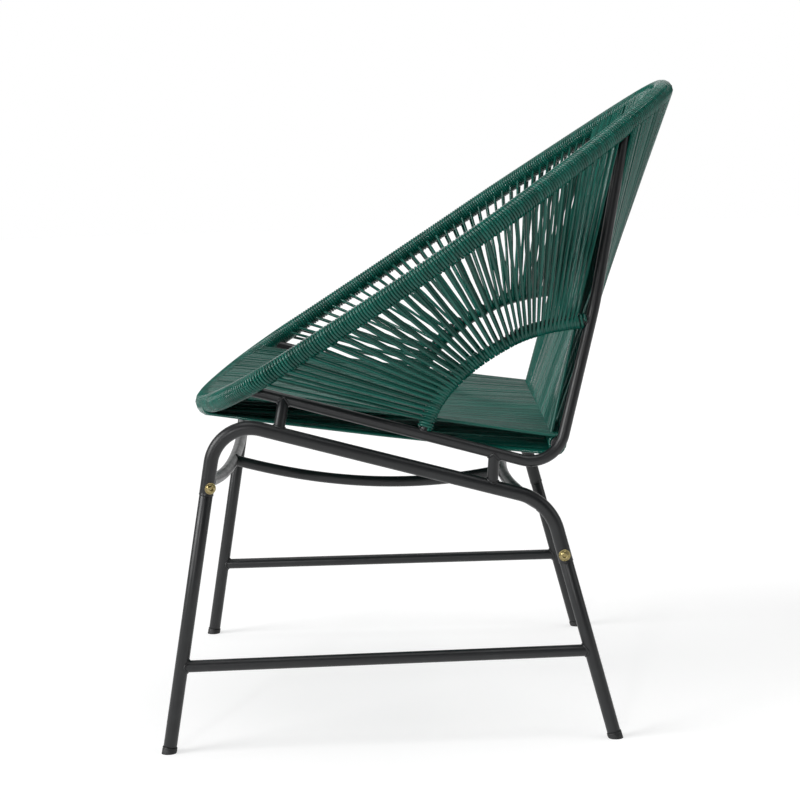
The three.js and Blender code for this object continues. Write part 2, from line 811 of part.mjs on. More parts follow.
function boltProfile() {
  const seat = baseTubeRadius + pieceGap;
  const headTop = seat + boltHeadHeight;
  const socketRadius = boltSocketDiameter / 2;
  return [
    [0, seat - boltReach], [boltShankRadius, seat - boltReach], [boltShankRadius, seat],
    [boltHeadRadius, seat], [boltHeadRadius, seat + boltFlangeThickness],
    [boltHeadRadius * boltCrownWidthShare, lerp(seat, headTop, boltCrownHeightShare)],
    [socketRadius, headTop], [socketRadius, headTop - boltSocketDepth], [0, headTop - boltSocketDepth],
  ];
}

function nutProfile() {
  const hole = boltShankRadius + boltHoleClearance;
  const outer = nutDiameter / 2;
  const top = spigotBoreRadius;
  const bottom = top - pieceGap - nutThickness;
  return [[hole, bottom], [outer, bottom], [outer, top], [hole, top], [hole, bottom]];
}

const baseCutters = {};
for (const { name, sign } of sides) {
  const lines = baseLines[name];
  const { front, rear } = lines;
  const run = roundedRun(
    [front.at(front.socketHeight), front.corner, rear.corner, rear.at(rear.socketHeight)],
    [frontCornerRadius, rearCornerRadius],
  );
  const path = new Polyline(run, arcSteps);
  baseCutters[name] = tubeAlong(path, baseTubeRadius + pieceGap, path.steps);
  let tube = tubeAlong(path, baseTubeRadius, path.steps);
  let stretcher = barBetween(
    front.at(stretcherFrontHeight), rear.at(stretcherRearHeight), stretcherDiameter / 2,
  );

  for (const leg of legEnds) {
    const line = lines[leg.end];
    const alongLeg = (point, distance) => point.clone().addScaledVector(line.way, distance);
    const mouth = line.at(line.socketHeight);
    const boltCentre = alongLeg(mouth, boltRise);
    const way = boltWay(line, sign, leg.turn);
    const holeEnd = boltCentre.clone().addScaledVector(way, baseTubeDiameter);
    const hole = barBetween(boltCentre, holeEnd, boltShankRadius + boltHoleClearance, smallTubeSides);
    const bore = barBetween(
      alongLeg(mouth, -cutOverrun), alongLeg(mouth, spigotLength + cutOverrun), socketBoreRadius,
    );
    tube = tube.subtract(bore).subtract(hole);
    stretcher = stretcher.subtract(barBetween(line.foot, mouth, legRadius + pieceGap));

    const tubeLeg = turned(legProfile(mouth.distanceTo(line.foot)), line.foot, line.way);
    addPiece(`${leg.end}_${name}_leg`, tubeLeg.subtract(hole), frameMaterial());

    const glide = turned(
      glideProfile(glideHeight - pieceGap, legBoreRadius - pieceGap), line.foot, line.way,
    );
    const blockWidth = 2 * (glideDiameter + cutOverrun);
    const belowFloor = new THREE.BoxGeometry(blockWidth, blockWidth, blockWidth);
    belowFloor.translate(line.foot.x, line.foot.y, -blockWidth / 2);
    addPiece(`${leg.end}_${name}_glide`, glide.subtract(solidFrom(belowFloor)), glideMaterial());

    const bolt = turned(boltProfile(), boltCentre, way, fewTubeSides);
    addPiece(`${leg.end}_${name}_bolt`, bolt, boltMaterial());
    const spigotBore = barBetween(
      alongLeg(boltCentre, -nutDiameter), alongLeg(boltCentre, nutDiameter), spigotBoreRadius - pieceGap,
    );
    const nut = turned(nutProfile(), boltCentre, way, fewTubeSides);
    addPiece(`${leg.end}_${name}_nut`, nut.intersect(spigotBore), boltMaterial());
  }
  addPiece(`${name}_base_tube`, tube, frameMaterial());
  addPiece(`${name}_stretcher`, stretcher, frameMaterial());

  const posts = [["front", frontPostRailX, frontPostBaseX], ["rear", rearPostRailX, rearPostBaseX]];
  for (const [end, railX, baseX] of posts) {
    const postFoot = onBaseTube(name, baseX);
    const postTop = onRail(sign, railX);
    postTop.addScaledVector(postFoot.clone().sub(postTop).normalize(), postTopInset);
    const post = barBetween(postTop, postFoot, postDiameter / 2);
    const trimmed = post.subtract(railCutters[name]).subtract(baseCutters[name]);
    addPiece(`${end}_${name}_seat_post`, trimmed, frameMaterial());
  }
}

// Crossbars: bowed bars between the two base tubes

function bowedBar(ends, middle, radius) {
  const control = middle.clone().multiplyScalar(2).sub(ends[0].clone().lerp(ends[1], 0.5));
  const curve = new THREE.QuadraticBezierCurve3(ends[0], control, ends[1]);
  return { curve, solid: (extra) => tubeAlong(curve, radius + extra, bowSteps, smallTubeSides) };
}

const crossbarRadius = crossbarDiameter / 2;
const frontEnds = sides.map(({ name }) => {
  const { front } = baseLines[name];
  return front.at(front.socketHeight + frontCrossbarRise);
});
const frontMiddle = vec(
  frontEnds[0].x + frontCrossbarSetBack, 0, frontEnds[0].z - frontCrossbarDip,
);
const frontCrossbar = bowedBar(frontEnds, frontMiddle, crossbarRadius);

// The rear crossbar meets the rear bends, whose arcs pass this far inside their corners
function rearBendPoint(name) {
  const { front, rear } = baseLines[name];
  const inward = front.corner.clone().sub(rear.corner).normalize();
  const downward = rear.foot.clone().sub(rear.corner).normalize();
  const half = inward.angleTo(downward) / 2;
  const middleWay = inward.add(downward).normalize();
  return rear.corner.clone().addScaledVector(middleWay, rearCornerRadius / Math.sin(half) - rearCornerRadius);
}

const rearEnds = sides.map(({ name }) => rearBendPoint(name));
const rearMiddle = vec(
  rearEnds[0].x - rearCrossbarBow, 0, baseLines.left.rear.corner.z - rearCrossbarDip,
);
const rearCrossbar = bowedBar(rearEnds, rearMiddle, crossbarRadius);

for (const [name, bar] of [["front", frontCrossbar], ["rear", rearCrossbar]]) {
  let solid = bar.solid(0);
  for (const side of sides) solid = solid.subtract(baseCutters[side.name]);
  addPiece(`${name}_base_crossbar`, solid, frameMaterial());
}

// Centre brace between the crossbars

const braceCurve = new THREE.QuadraticBezierCurve3(
  frontMiddle, vec(braceControlX, 0, frontMiddle.z - braceControlDip), rearMiddle,
);
const brace = tubeAlong(braceCurve, braceDiameter / 2, bowSteps, smallTubeSides);
addPiece(
  "centre_base_brace",
  brace.subtract(frontCrossbar.solid(pieceGap)).subtract(rearCrossbar.solid(pieceGap)),
  frameMaterial(),
);

// The origin is under the middle of the chair's box
const box = new THREE.Box3().setFromObject(chair);
const shift = box.getCenter(vec(0, 0, 0));
chair.position.set(-shift.x, 0, 0);
chair.updateMatrixWorld(true);

export default chair;
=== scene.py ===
import math
import random

import bpy
import numpy as np
from mathutils import Matrix, Vector


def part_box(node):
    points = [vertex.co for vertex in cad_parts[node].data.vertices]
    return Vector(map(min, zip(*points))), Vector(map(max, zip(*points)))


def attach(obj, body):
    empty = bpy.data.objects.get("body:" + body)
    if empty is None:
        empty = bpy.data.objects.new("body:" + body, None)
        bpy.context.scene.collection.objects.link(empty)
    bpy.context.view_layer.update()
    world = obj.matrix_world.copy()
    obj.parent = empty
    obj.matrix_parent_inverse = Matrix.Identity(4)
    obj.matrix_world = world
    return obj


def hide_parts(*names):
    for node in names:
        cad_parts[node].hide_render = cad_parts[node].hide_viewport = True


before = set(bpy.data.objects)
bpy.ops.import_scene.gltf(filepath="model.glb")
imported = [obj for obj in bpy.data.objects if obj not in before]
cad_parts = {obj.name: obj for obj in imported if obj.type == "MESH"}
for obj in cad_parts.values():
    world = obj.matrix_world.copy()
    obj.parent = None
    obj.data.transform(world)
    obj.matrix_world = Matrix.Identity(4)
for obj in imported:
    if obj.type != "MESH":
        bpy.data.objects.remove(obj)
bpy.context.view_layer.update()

collection = bpy.context.scene.collection
# Every length below is in mm until place() makes it metres
mm = 0.001
turn = 2 * math.pi  # One whole turn in radians

# Driving sizes, the same as the CAD's. Stations divide the rim evenly and count from its front.
rimSizes = {"frontX": -260, "frontHeight": 434, "topX": 408, "topHeight": 859, "sag": 6, "halfWidth": 338,
            "radius": 9.5, "stations": 78, "railStation": 10, "uprightStation": 32, "windingStation": 11}
# Shares of the way from the rim's front to its top, and of its half width
rimOutline = [(0.017, 0.35), (0.067, 0.7), (0.146, 0.9), (0.25, 0.95), (0.371, 0.985), (0.5, 1),
              (0.629, 0.955), (0.75, 0.81), (0.854, 0.635), (0.933, 0.45), (0.983, 0.25)]
railSizes = {"radius": 7.5, "cornerX": 225, "cornerY": 312, "cornerHeight": 366, "cornerRadius": 46,
             "kneeX": 284, "kneeHeight": 575, "kneeRadius": 500, "kneeLean": 0.43}
archSizes = {"radius": 6.35, "footX": 51, "topHeight": 556}
# Shares of the arch's run to the rear, and of its rise
archRise = [(0.067, 0.237), (0.13, 0.38), (0.219, 0.525), (0.34, 0.676), (0.58, 0.878), (0.817, 0.971)]
crossSizes = {"radius": 8, "x": 229, "height": 397, "halfLength": 306, "woundHalfLength": 296.5,
              "railBehind": 3}
cordSizes = {"radius": 2.15, "woundRadius": 2.05, "pitch": 4.27, "clearance": 0.3, "unevenness": 0.1,
             "sides": 8, "woundSides": 7, "stepsPerTurn": 14}

# The CAD's origin is under the middle of its box, and these sizes are drawn from another one
crossLow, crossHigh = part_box("rear_cross_tube")
shiftX = (crossLow[0] + crossHigh[0]) / 2 / mm - crossSizes["x"]


def vec(x, y, z):
    return np.array([x, y, z], float)


def unit(v):
    return v / np.linalg.norm(v)


def bulge(t):
    return 4 * t * (1 - t)  # 0 at both ends and 1 halfway


def pointWhere(first, last, axis, value):
    # The point on the line through first and last that has this value on that axis
    return first + (last - first) * (value - first[axis]) / (last[axis] - first[axis])


def place(points):
    moved = np.array(points, float).reshape(-1, 3)
    moved[:, 0] += shiftX
    return moved * mm


# Angles in degrees, and the focal length in pixels of the frame's width
cameraSizes = {"place": (36.12, -2974.17, 816.07), "yaw": -0.280, "pitch": 7.563, "roll": -1.644,
               "focal": 2054.39, "frame": 800, "sensor": 36}


def addCamera(sizes):
    data = bpy.data.cameras.new("camera")
    data.sensor_width = sizes["sensor"]
    data.lens = sizes["focal"] / sizes["frame"] * sizes["sensor"]
    camera = bpy.data.objects.new("camera", data)
    collection.objects.link(camera)
    yaw, pitch, roll = (math.radians(sizes[key]) for key in ("yaw", "pitch", "roll"))
    ahead = vec(math.sin(yaw) * math.cos(pitch), math.cos(yaw) * math.cos(pitch), -math.sin(pitch))
    right = vec(math.cos(yaw), -math.sin(yaw), 0)
    above = np.cross(right, ahead)
    turnedRight = math.cos(roll) * right + math.sin(roll) * above
    turnedUp = -math.sin(roll) * right + math.cos(roll) * above
    at = place([sizes["place"]])[0]
    rows = [[turnedRight[i], turnedUp[i], -ahead[i], at[i]] for i in range(3)] + [[0, 0, 0, 1]]
    camera.matrix_world = Matrix(rows)
    bpy.context.scene.camera = camera


addCamera(cameraSizes)
print("camera placed")


def splineThrough(points, closed, steps=40):
    # Centripetal, as the CAD's splines are
    points = [np.array(p, float) for p in points]
    if not closed:
        points = [2 * points[0] - points[1]] + points + [2 * points[-1] - points[-2]]
    count = len(points) if closed else len(points) - 3
    line = []
    for i in range(count):
        k = i if closed else i + 1
        p0, p1, p2, p3 = (points[(k + step) % len(points)] for step in (-1, 0, 1, 2))
        d0, d1, d2 = (np.linalg.norm(b - a) ** 0.5 for a, b in ((p0, p1), (p1, p2), (p2, p3)))
        t1 = ((p1 - p0) / d0 - (p2 - p0) / (d0 + d1) + (p2 - p1) / d1) * d1
        t2 = ((p2 - p1) / d1 - (p3 - p1) / (d1 + d2) + (p3 - p2) / d2) * d1
        square = 3 * (p2 - p1) - 2 * t1 - t2
        cube = 2 * (p1 - p2) + t1 + t2
        for t in np.linspace(0, 1, steps, endpoint=False):
            line.append(p1 + t1 * t + square * t ** 2 + cube * t ** 3)
    line.append(points[0] if closed else points[-2])
    return np.array(line)


def roundedRun(points, radii, steps=24):
    # Straight runs from point to point, with an arc of its own radius at each corner
    line = [points[0]]
    for before, corner, after, radius in zip(points, points[1:], points[2:], radii):
        inward, outward = unit(before - corner), unit(after - corner)
        half = math.acos(np.clip(inward @ outward, -1, 1)) / 2
        centre = corner + unit(inward + outward) * radius / math.sin(half)
        first = corner + inward * radius / math.tan(half) - centre
        last = corner + outward * radius / math.tan(half) - centre
        angle = math.acos(np.clip(unit(first) @ unit(last), -1, 1))
        for i in range(steps + 1):
            t = i / steps
            swung = first * math.sin((1 - t) * angle) + last * math.sin(t * angle)
            line.append(centre + swung / math.sin(angle))
    line.append(points[-1])
    return np.array(line)


class Path:
    # A line on which a place is a share of its length
    def __init__(self, points, closed=False):
        self.points = np.array(points, float)
        self.closed = closed
        steps = np.linalg.norm(np.diff(self.points, axis=0), axis=1)
        self.marks = np.concatenate([[0], np.cumsum(steps)])
        self.length = self.marks[-1]

    def at(self, share):
        share = share % 1 if self.closed else min(max(share, 0), 1)
        return np.array([np.interp(share * self.length, self.marks, self.points[:, k]) for k in range(3)])

    def tangent(self, share, reach=0.5):
        low, high = share - reach / self.length, share + reach / self.length
        if not self.closed:
            low, high = max(low, 0), min(high, 1)
        return unit(self.at(high) - self.at(low))

    def stretch(self, low, high, spacing=4.0):
        count = max(2, int(abs(high - low) * self.length / spacing))
        return np.array([self.at(low + (high - low) * i / count) for i in range(count + 1)])


rimFront = vec(rimSizes["frontX"], 0, rimSizes["frontHeight"])
rimTop = vec(rimSizes["topX"], 0, rimSizes["topHeight"])
rimWay = unit(rimTop - rimFront)
rimNormal = vec(-rimWay[2], 0, rimWay[0])


def rimSpot(along, width):
    point = rimFront + (rimTop - rimFront) * along - rimNormal * rimSizes["sag"] * bulge(along)
    point[1] = width * rimSizes["halfWidth"]
    return point


rimPoints = [rimFront] + [rimSpot(a, -w) for a, w in rimOutline] + [rimTop]
rimPoints += [rimSpot(a, w) for a, w in reversed(rimOutline)]
rimPath = Path(splineThrough(rimPoints, True), True)
railShare = rimSizes["railStation"] / rimSizes["stations"]
uprightShare = rimSizes["uprightStation"] / rimSizes["stations"]
windingShare = rimSizes["windingStation"] / rimSizes["stations"]


def sideShare(sign, share):
    # The rim's shares run from its front up the left side, and this counts the same way on either side
    return share if sign < 0 else 1 - share


sides = [("left", -1), ("right", 1)]
railPaths, railLines, archPaths = {}, {}, {}
for side, sign in sides:
    front = rimPath.at(sideShare(sign, railShare))
    top = rimPath.at(sideShare(sign, uprightShare))
    corner = vec(railSizes["cornerX"], sign * railSizes["cornerY"], railSizes["cornerHeight"])
    kneeY = railSizes["cornerY"] + (abs(top[1]) - railSizes["cornerY"]) * railSizes["kneeLean"]
    knee = vec(railSizes["kneeX"], sign * kneeY, railSizes["kneeHeight"])
    railLines[side] = (front, corner, knee, top)
    railPaths[side] = Path(roundedRun(railLines[side], [railSizes["cornerRadius"], railSizes["kneeRadius"]]))
    foot = pointWhere(front, corner, 0, archSizes["footX"])
    head = pointWhere(corner, knee, 2, archSizes["topHeight"])
    middles = [foot + (head - foot) * vec(run, rise, rise) for run, rise in archRise]
    archPaths[side] = Path(splineThrough([foot] + middles + [head], False))


def onRail(side, x):
    front, corner = railLines[side][:2]
    return pointWhere(front, corner, 0, x)


def linear(hexColour):
    channels = [int(hexColour[i:i + 2], 16) / 255 for i in (1, 3, 5)]
    return tuple(c / 12.92 if c <= 0.04045 else ((c + 0.055) / 1.055) ** 2.4 for c in channels) + (1.0,)


def out(node, name=None):
    # The output of that name, or else the first one
    return next(s for s in node.outputs if s.enabled and (name is None or s.name == name))


def feed(tree, node, **inputs):
    # An input is named as Blender does, with spaces left out, or as in{number}. It gets a value, an output,
    # or a node, which stands for its first output.
    for key, value in inputs.items():
        if key.startswith("in") and key[2:].isdigit():
            socket = node.inputs[int(key[2:])]
        else:
            socket = next(s for s in node.inputs if s.name.replace(" ", "") == key and s.enabled)
        if isinstance(value, bpy.types.Node):
            value = out(value)
        if isinstance(value, bpy.types.NodeSocket):
            tree.links.new(value, socket)
        else:
            socket.default_value = value


def addNode(tree, kind, settings=None, stops=(), **inputs):
    # Stops are a colour ramp's places, each with a hex colour or with a number for a grey
    node = tree.nodes.new(kind)
    for key, value in (settings or {}).items():
        setattr(node, key, value)
    for _ in stops[2:]:  # A new ramp has two
        node.color_ramp.elements.new(0.5)
    for i, (position, colour) in enumerate(stops):
        element = node.color_ramp.elements[i]
        element.position = position
        element.color = linear(colour) if isinstance(colour, str) else (colour, colour, colour, 1.0)
    feed(tree, node, **inputs)
    return node


def seenDirectly(tree):
    # 1 for what the camera sees, also in a shiny surface or through a clear one, and 0 for soft light
    path = addNode(tree, "ShaderNodeLightPath")
    larger = {"operation": "MAXIMUM"}
    glossy, clear = out(path, "Is Glossy Ray"), out(path, "Is Transmission Ray")
    shiny = addNode(tree, "ShaderNodeMath", larger, in0=glossy, in1=clear)
    return addNode(tree, "ShaderNodeMath", larger, in0=out(path, "Is Camera Ray"), in1=shiny)


def newMaterial(name, patterns):
    # Patterns are noises in object coordinates, each by the size in mm of its features and by its detail.
    # Marks of under 1 mm are drawn coarser than the real ones, which would be too fine to show.
    material = bpy.data.materials.new(name)
    material.use_nodes = True
    tree = material.node_tree
    at = out(addNode(tree, "ShaderNodeTexCoord"), "Object")
    noises = [addNode(tree, "ShaderNodeTexNoise", Vector=at, Scale=1 / (size * mm), Detail=detail)
              for size, detail in patterns.values()]
    return material, tree, tree.nodes["Principled BSDF"], *noises


# Extruded vinyl cord: a deep green with a satin skin, each turn and strand a shade off its neighbour,
# faded in wide patches and paler where it is scuffed
def makeVinylCord():
    depth = 0.1
    patterns = {"blotch": (40, 2.0), "scuff": (7, 4.0), "skin": (0.8, 2.0)}
    material, tree, shader, blotch, scuff, skin = newMaterial("extruded vinyl cord", patterns)
    tone = addNode(tree, "ShaderNodeAttribute", {"attribute_name": "tone"})
    greens = [(0.0, "#06443a"), (0.5, "#084e43"), (1.0, "#0c5a4e")]
    green = addNode(tree, "ShaderNodeValToRGB", stops=greens, Fac=out(tone, "Fac"))
    fade = addNode(tree, "ShaderNodeValToRGB", stops=[(0.4, 0.0), (0.75, 0.3)], Fac=blotch)
    faded = addNode(tree, "ShaderNodeMix", {"data_type": "RGBA"}, Factor=fade, A=green, B=linear("#105d50"))
    wear = addNode(tree, "ShaderNodeValToRGB", stops=[(0.6, 0.0), (0.8, 0.2)], Fac=scuff)
    worn = addNode(tree, "ShaderNodeMix", {"data_type": "RGBA"}, Factor=wear, A=faded, B=linear("#236c5f"))
    rough = addNode(tree, "ShaderNodeValToRGB", stops=[(0.3, 0.14), (0.75, 0.24)], Fac=scuff)
    bump = addNode(tree, "ShaderNodeBump", Strength=0.12, Distance=depth * mm, Height=skin)
    feed(tree, shader, BaseColor=worn, Roughness=rough, IOR=1.43, Normal=bump)
    return material


# Powder-coated steel: near-black with a fine orange-peel skin, greyer under dust and paler and smoother
# where it is handled
def makePowderCoat():
    depth = 0.12
    patterns = {"peel": (1.1, 3.0), "wear": (18, 5.0), "dust": (60, 2.0)}
    material, tree, shader, peel, wear, dust = newMaterial("powder-coated steel", patterns)
    blacks = [(0.3, "#0e0f11"), (0.6, "#131517"), (0.8, "#1c1e20")]
    black = addNode(tree, "ShaderNodeValToRGB", stops=blacks, Fac=wear)
    veil = addNode(tree, "ShaderNodeValToRGB", stops=[(0.45, 0.0), (0.8, 0.2)], Fac=dust)
    dusty = addNode(tree, "ShaderNodeMix", {"data_type": "RGBA"}, Factor=veil, A=black, B=linear("#26282a"))
    rough = addNode(tree, "ShaderNodeValToRGB", stops=[(0.35, 0.42), (0.7, 0.33)], Fac=wear)
    bump = addNode(tree, "ShaderNodeBump", Strength=0.2, Distance=depth * mm, Height=peel)
    feed(tree, shader, BaseColor=dusty, Roughness=rough, Normal=bump)
    return material


# Yellow-passivated zinc on steel: warm metal with cloudy patches of olive, straw and rose, and a fine grain
def makeYellowZinc():
    depth = 0.05
    patterns = {"cloud": (3, 3.0), "grain": (0.5, 2.0)}
    material, tree, shader, cloud, grain = newMaterial("yellow-passivated zinc", patterns)
    golds = [(0.35, "#8f8052"), (0.55, "#a5986c"), (0.75, "#94826c")]
    gold = addNode(tree, "ShaderNodeValToRGB", stops=golds, Fac=cloud)
    rough = addNode(tree, "ShaderNodeValToRGB", stops=[(0.3, 0.24), (0.7, 0.4)], Fac=cloud)
    bump = addNode(tree, "ShaderNodeBump", Strength=0.15, Distance=depth * mm, Height=grain)
    feed(tree, shader, BaseColor=gold, Metallic=1.0, Roughness=rough, Normal=bump)
    return material


# Moulded polyethylene: dull black with a soft mottled skin
def makePolyethylene():
    depth = 0.08
    patterns = {"mottle": (2.5, 3.0), "grain": (0.6, 2.0)}
    material, tree, shader, mottle, grain = newMaterial("moulded polyethylene", patterns)
    black = addNode(tree, "ShaderNodeValToRGB", stops=[(0.35, "#0f1011"), (0.7, "#1b1c1d")], Fac=mottle)
    rough = addNode(tree, "ShaderNodeValToRGB", stops=[(0.3, 0.5), (0.7, 0.62)], Fac=mottle)
    bump = addNode(tree, "ShaderNodeBump", Strength=0.3, Distance=depth * mm, Height=grain)
    feed(tree, shader, BaseColor=black, Roughness=rough, Normal=bump)
    return material


# White studio paper with a faint tooth. What the camera and shiny surfaces see of it is half lit paper
# and half plain white, so that it meets the white background and still keeps the shadow.
def makePaper():
    sizes = {"depth": 0.1, "white": 1.22, "whiteShare": 0.5}
    patterns = {"cloud": (400, 2.0), "tooth": (2, 2.0)}
    material, tree, shader, cloud, tooth = newMaterial("white studio paper", patterns)
    base = addNode(tree, "ShaderNodeValToRGB", stops=[(0.3, "#f8f8f8"), (0.7, "#fcfcfc")], Fac=cloud)
    bump = addNode(tree, "ShaderNodeBump", Strength=0.05, Distance=sizes["depth"] * mm, Height=tooth)
    feed(tree, shader, BaseColor=base, Roughness=0.9, Normal=bump)
    white = addNode(tree, "ShaderNodeEmission", Color=(1, 1, 1, 1), Strength=sizes["white"])
    half = addNode(tree, "ShaderNodeMath", {"operation": "MULTIPLY"}, in0=seenDirectly(tree),
                   in1=sizes["whiteShare"])
    mix = addNode(tree, "ShaderNodeMixShader", in0=half, in1=shader, in2=white)
    feed(tree, tree.nodes["Material Output"], Surface=mix)
    return material


vinylCord = makeVinylCord()
powderCoat = makePowderCoat()
yellowZinc = makeYellowZinc()
polyethylene = makePolyethylene()
paper = makePaper()
print("materials made")


def newTree(name, inputs):
    tree = bpy.data.node_groups.new(name, "GeometryNodeTree")
    tree.interface.new_socket(name="Geometry", in_out="INPUT", socket_type="NodeSocketGeometry")
    for label, kind in inputs:
        tree.interface.new_socket(name=label, in_out="INPUT", socket_type="NodeSocket" + kind)
    tree.interface.new_socket(name="Geometry", in_out="OUTPUT", socket_type="NodeSocketGeometry")
    return tree, tree.nodes.new("NodeGroupInput")


def finishTree(tree, given, curve, radius):
    # A round skin on the curve, made real and given its material
    ring = addNode(tree, "GeometryNodeCurvePrimitiveCircle", Resolution=out(given, "Sides"), Radius=radius)
    skin = addNode(tree, "GeometryNodeCurveToMesh", Curve=curve, ProfileCurve=ring, FillCaps=True)
    smooth = addNode(tree, "GeometryNodeSetShadeSmooth", Geometry=skin)
    real = addNode(tree, "GeometryNodeRealizeInstances", Geometry=smooth)
    coloured = addNode(tree, "GeometryNodeSetMaterial", Geometry=real, Material=out(given, "Material"))
    addNode(tree, "NodeGroupOutput", Geometry=coloured)


def makeFollowTree():
    inputs = [("Radius", "Float"), ("Sides", "Int"), ("Seed", "Int"), ("Material", "Material")]
    tree, given = newTree("follow path", inputs)
    curve = addNode(tree, "GeometryNodeMeshToCurve", Mesh=out(given, "Geometry"))
    tone = addNode(tree, "FunctionNodeRandomValue", {"data_type": "FLOAT"}, Seed=out(given, "Seed"))
    told = addNode(tree, "GeometryNodeStoreNamedAttribute", {"data_type": "FLOAT", "domain": "CURVE"},
                   Geometry=curve, Name="tone", Value=tone)
    finishTree(tree, given, told, out(given, "Radius"))
    return tree


def makeWindingTree():
    wavesPerTurn = 0.7
    inputs = [("Turns", "Float"), ("Wound Radius", "Float"), ("Cord Radius", "Float"),
              ("Steps Per Turn", "Int"), ("Sides", "Int"), ("Unevenness", "Float"), ("Seed", "Int"),
              ("Material", "Material")]
    tree, given = newTree("wind cord", inputs)
    curve = addNode(tree, "GeometryNodeMeshToCurve", Mesh=out(given, "Geometry"))
    # Level normals, so that a winding of whole turns ends as the next one on the same tube begins
    level = addNode(tree, "GeometryNodeSetCurveNormal", {"mode": "Z_UP"}, Curve=curve)
    perTurn = out(given, "Steps Per Turn")
    stepCount = addNode(tree, "ShaderNodeMath", {"operation": "MULTIPLY_ADD"}, in0=out(given, "Turns"),
                        in1=perTurn, in2=1.0)
    fine = addNode(tree, "GeometryNodeResampleCurve", Curve=level, Count=stepCount)
    index = addNode(tree, "GeometryNodeInputIndex")
    turns = addNode(tree, "ShaderNodeMath", {"operation": "DIVIDE"}, in0=index, in1=perTurn)

    # How far the cord lies from the tube's axis, a little unevenly
    wave = addNode(tree, "ShaderNodeTexNoise", {"noise_dimensions": "1D"}, W=turns, Scale=wavesPerTurn,
                   Detail=1.0)
    swing = addNode(tree, "ShaderNodeMath", {"operation": "SUBTRACT"}, in0=wave, in1=0.5)
    uneven = addNode(tree, "ShaderNodeMath", {"operation": "MULTIPLY"}, in0=swing,
                     in1=out(given, "Unevenness"))
    radius = addNode(tree, "ShaderNodeMath", {"operation": "ADD"}, in0=out(given, "Wound Radius"), in1=uneven)

    # Each step goes round from the normal towards the vector square to it and to the tube
    angle = addNode(tree, "ShaderNodeMath", {"operation": "MULTIPLY"}, in0=turns, in1=turn)
    cosine = addNode(tree, "ShaderNodeMath", {"operation": "COSINE"}, in0=angle)
    sine = addNode(tree, "ShaderNodeMath", {"operation": "SINE"}, in0=angle)
    normal = out(addNode(tree, "GeometryNodeInputNormal"), "Normal")
    tangent = addNode(tree, "GeometryNodeInputTangent")
    square = addNode(tree, "ShaderNodeVectorMath", {"operation": "CROSS_PRODUCT"}, in0=tangent, in1=normal)
    longer = {"operation": "SCALE"}
    spread = addNode(tree, "ShaderNodeVectorMath", longer, in0=normal, Scale=cosine)
    rise = addNode(tree, "ShaderNodeVectorMath", longer, in0=square, Scale=sine)
    way = addNode(tree, "ShaderNodeVectorMath", {"operation": "ADD"}, in0=spread, in1=rise)
    offset = addNode(tree, "ShaderNodeVectorMath", longer, in0=way, Scale=radius)

    wholeTurn = addNode(tree, "ShaderNodeMath", {"operation": "FLOOR"}, in0=turns)
    tone = addNode(tree, "FunctionNodeRandomValue", {"data_type": "FLOAT"}, ID=wholeTurn,
                   Seed=out(given, "Seed"))
    told = addNode(tree, "GeometryNodeStoreNamedAttribute", {"data_type": "FLOAT", "domain": "POINT"},
                   Geometry=fine, Name="tone", Value=tone)
    moved = addNode(tree, "GeometryNodeSetPosition", Geometry=told, Offset=offset)
    finishTree(tree, given, moved, out(given, "Cord Radius"))
    return tree


followTree = makeFollowTree()
windingTree = makeWindingTree()


def linesObject(lines, closed):
    points, edges = [], []
    for line in lines:
        first = len(points)
        points.extend(place(line))
        edges += [(first + i, first + i + 1) for i in range(len(line) - 1)]
        if closed:
            edges.append((first + len(line) - 1, first))
    mesh = bpy.data.meshes.new("lines")
    mesh.from_pydata([tuple(p) for p in points], edges, [])
    source = bpy.data.objects.new("lines", mesh)
    collection.objects.link(source)
    return source


def grown(lines, tree, values, closed=False):
    # Runs a tree on these lines and keeps the plain mesh
    source = linesObject(lines, closed)
    modifier = source.modifiers.new("grow", "NODES")
    modifier.node_group = tree
    for item in tree.interface.items_tree:
        if item.in_out == "INPUT" and item.name in values:
            modifier[item.identifier] = values[item.name]
    graph = bpy.context.evaluated_depsgraph_get()
    mesh = bpy.data.meshes.new_from_object(source.evaluated_get(graph), depsgraph=graph)
    bpy.data.objects.remove(source)
    made = bpy.data.objects.new("grown", mesh)
    collection.objects.link(made)
    return made


def tube(line, radius, sideCount=32, closed=False):
    values = {"Radius": radius * mm, "Sides": sideCount, "Seed": 1, "Material": powderCoat}
    return grown([line], followTree, values, closed)


def strands(lines, seed):
    values = {"Radius": cordSizes["radius"] * mm, "Sides": cordSizes["sides"], "Seed": seed,
              "Material": vinylCord}
    return grown(lines, followTree, values)


def winding(line, coreRadius, seed):
    woundRadius = coreRadius + cordSizes["clearance"] + cordSizes["woundRadius"]
    values = {
        "Turns": float(round(Path(line).length / cordSizes["pitch"])), "Wound Radius": woundRadius * mm,
        "Cord Radius": cordSizes["woundRadius"] * mm, "Steps Per Turn": cordSizes["stepsPerTurn"],
        "Sides": cordSizes["woundSides"], "Unevenness": cordSizes["unevenness"] * mm, "Seed": seed,
        "Material": vinylCord,
    }
    return grown([line], windingTree, values)


def joined(objects, node):
    # One finished piece, which stands for the CAD node of that name
    first = objects[0]
    if len(objects) > 1:
        chosen = {"active_object": first, "selected_editable_objects": objects, "selected_objects": objects}
        with bpy.context.temp_override(**chosen):
            bpy.ops.object.join()
    first.name = node + "_dressed"
    first.data.name = first.name
    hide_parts(node)
    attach(first, "root")


def rings(radius, shape, height=0):
    # A turned shape's rings, from how far each lies past a radius and over a height
    return [(radius + past, height + up) for past, up in shape]


steep = 0.9  # An axis that leans less than this towards the vertical is squared to the vertical


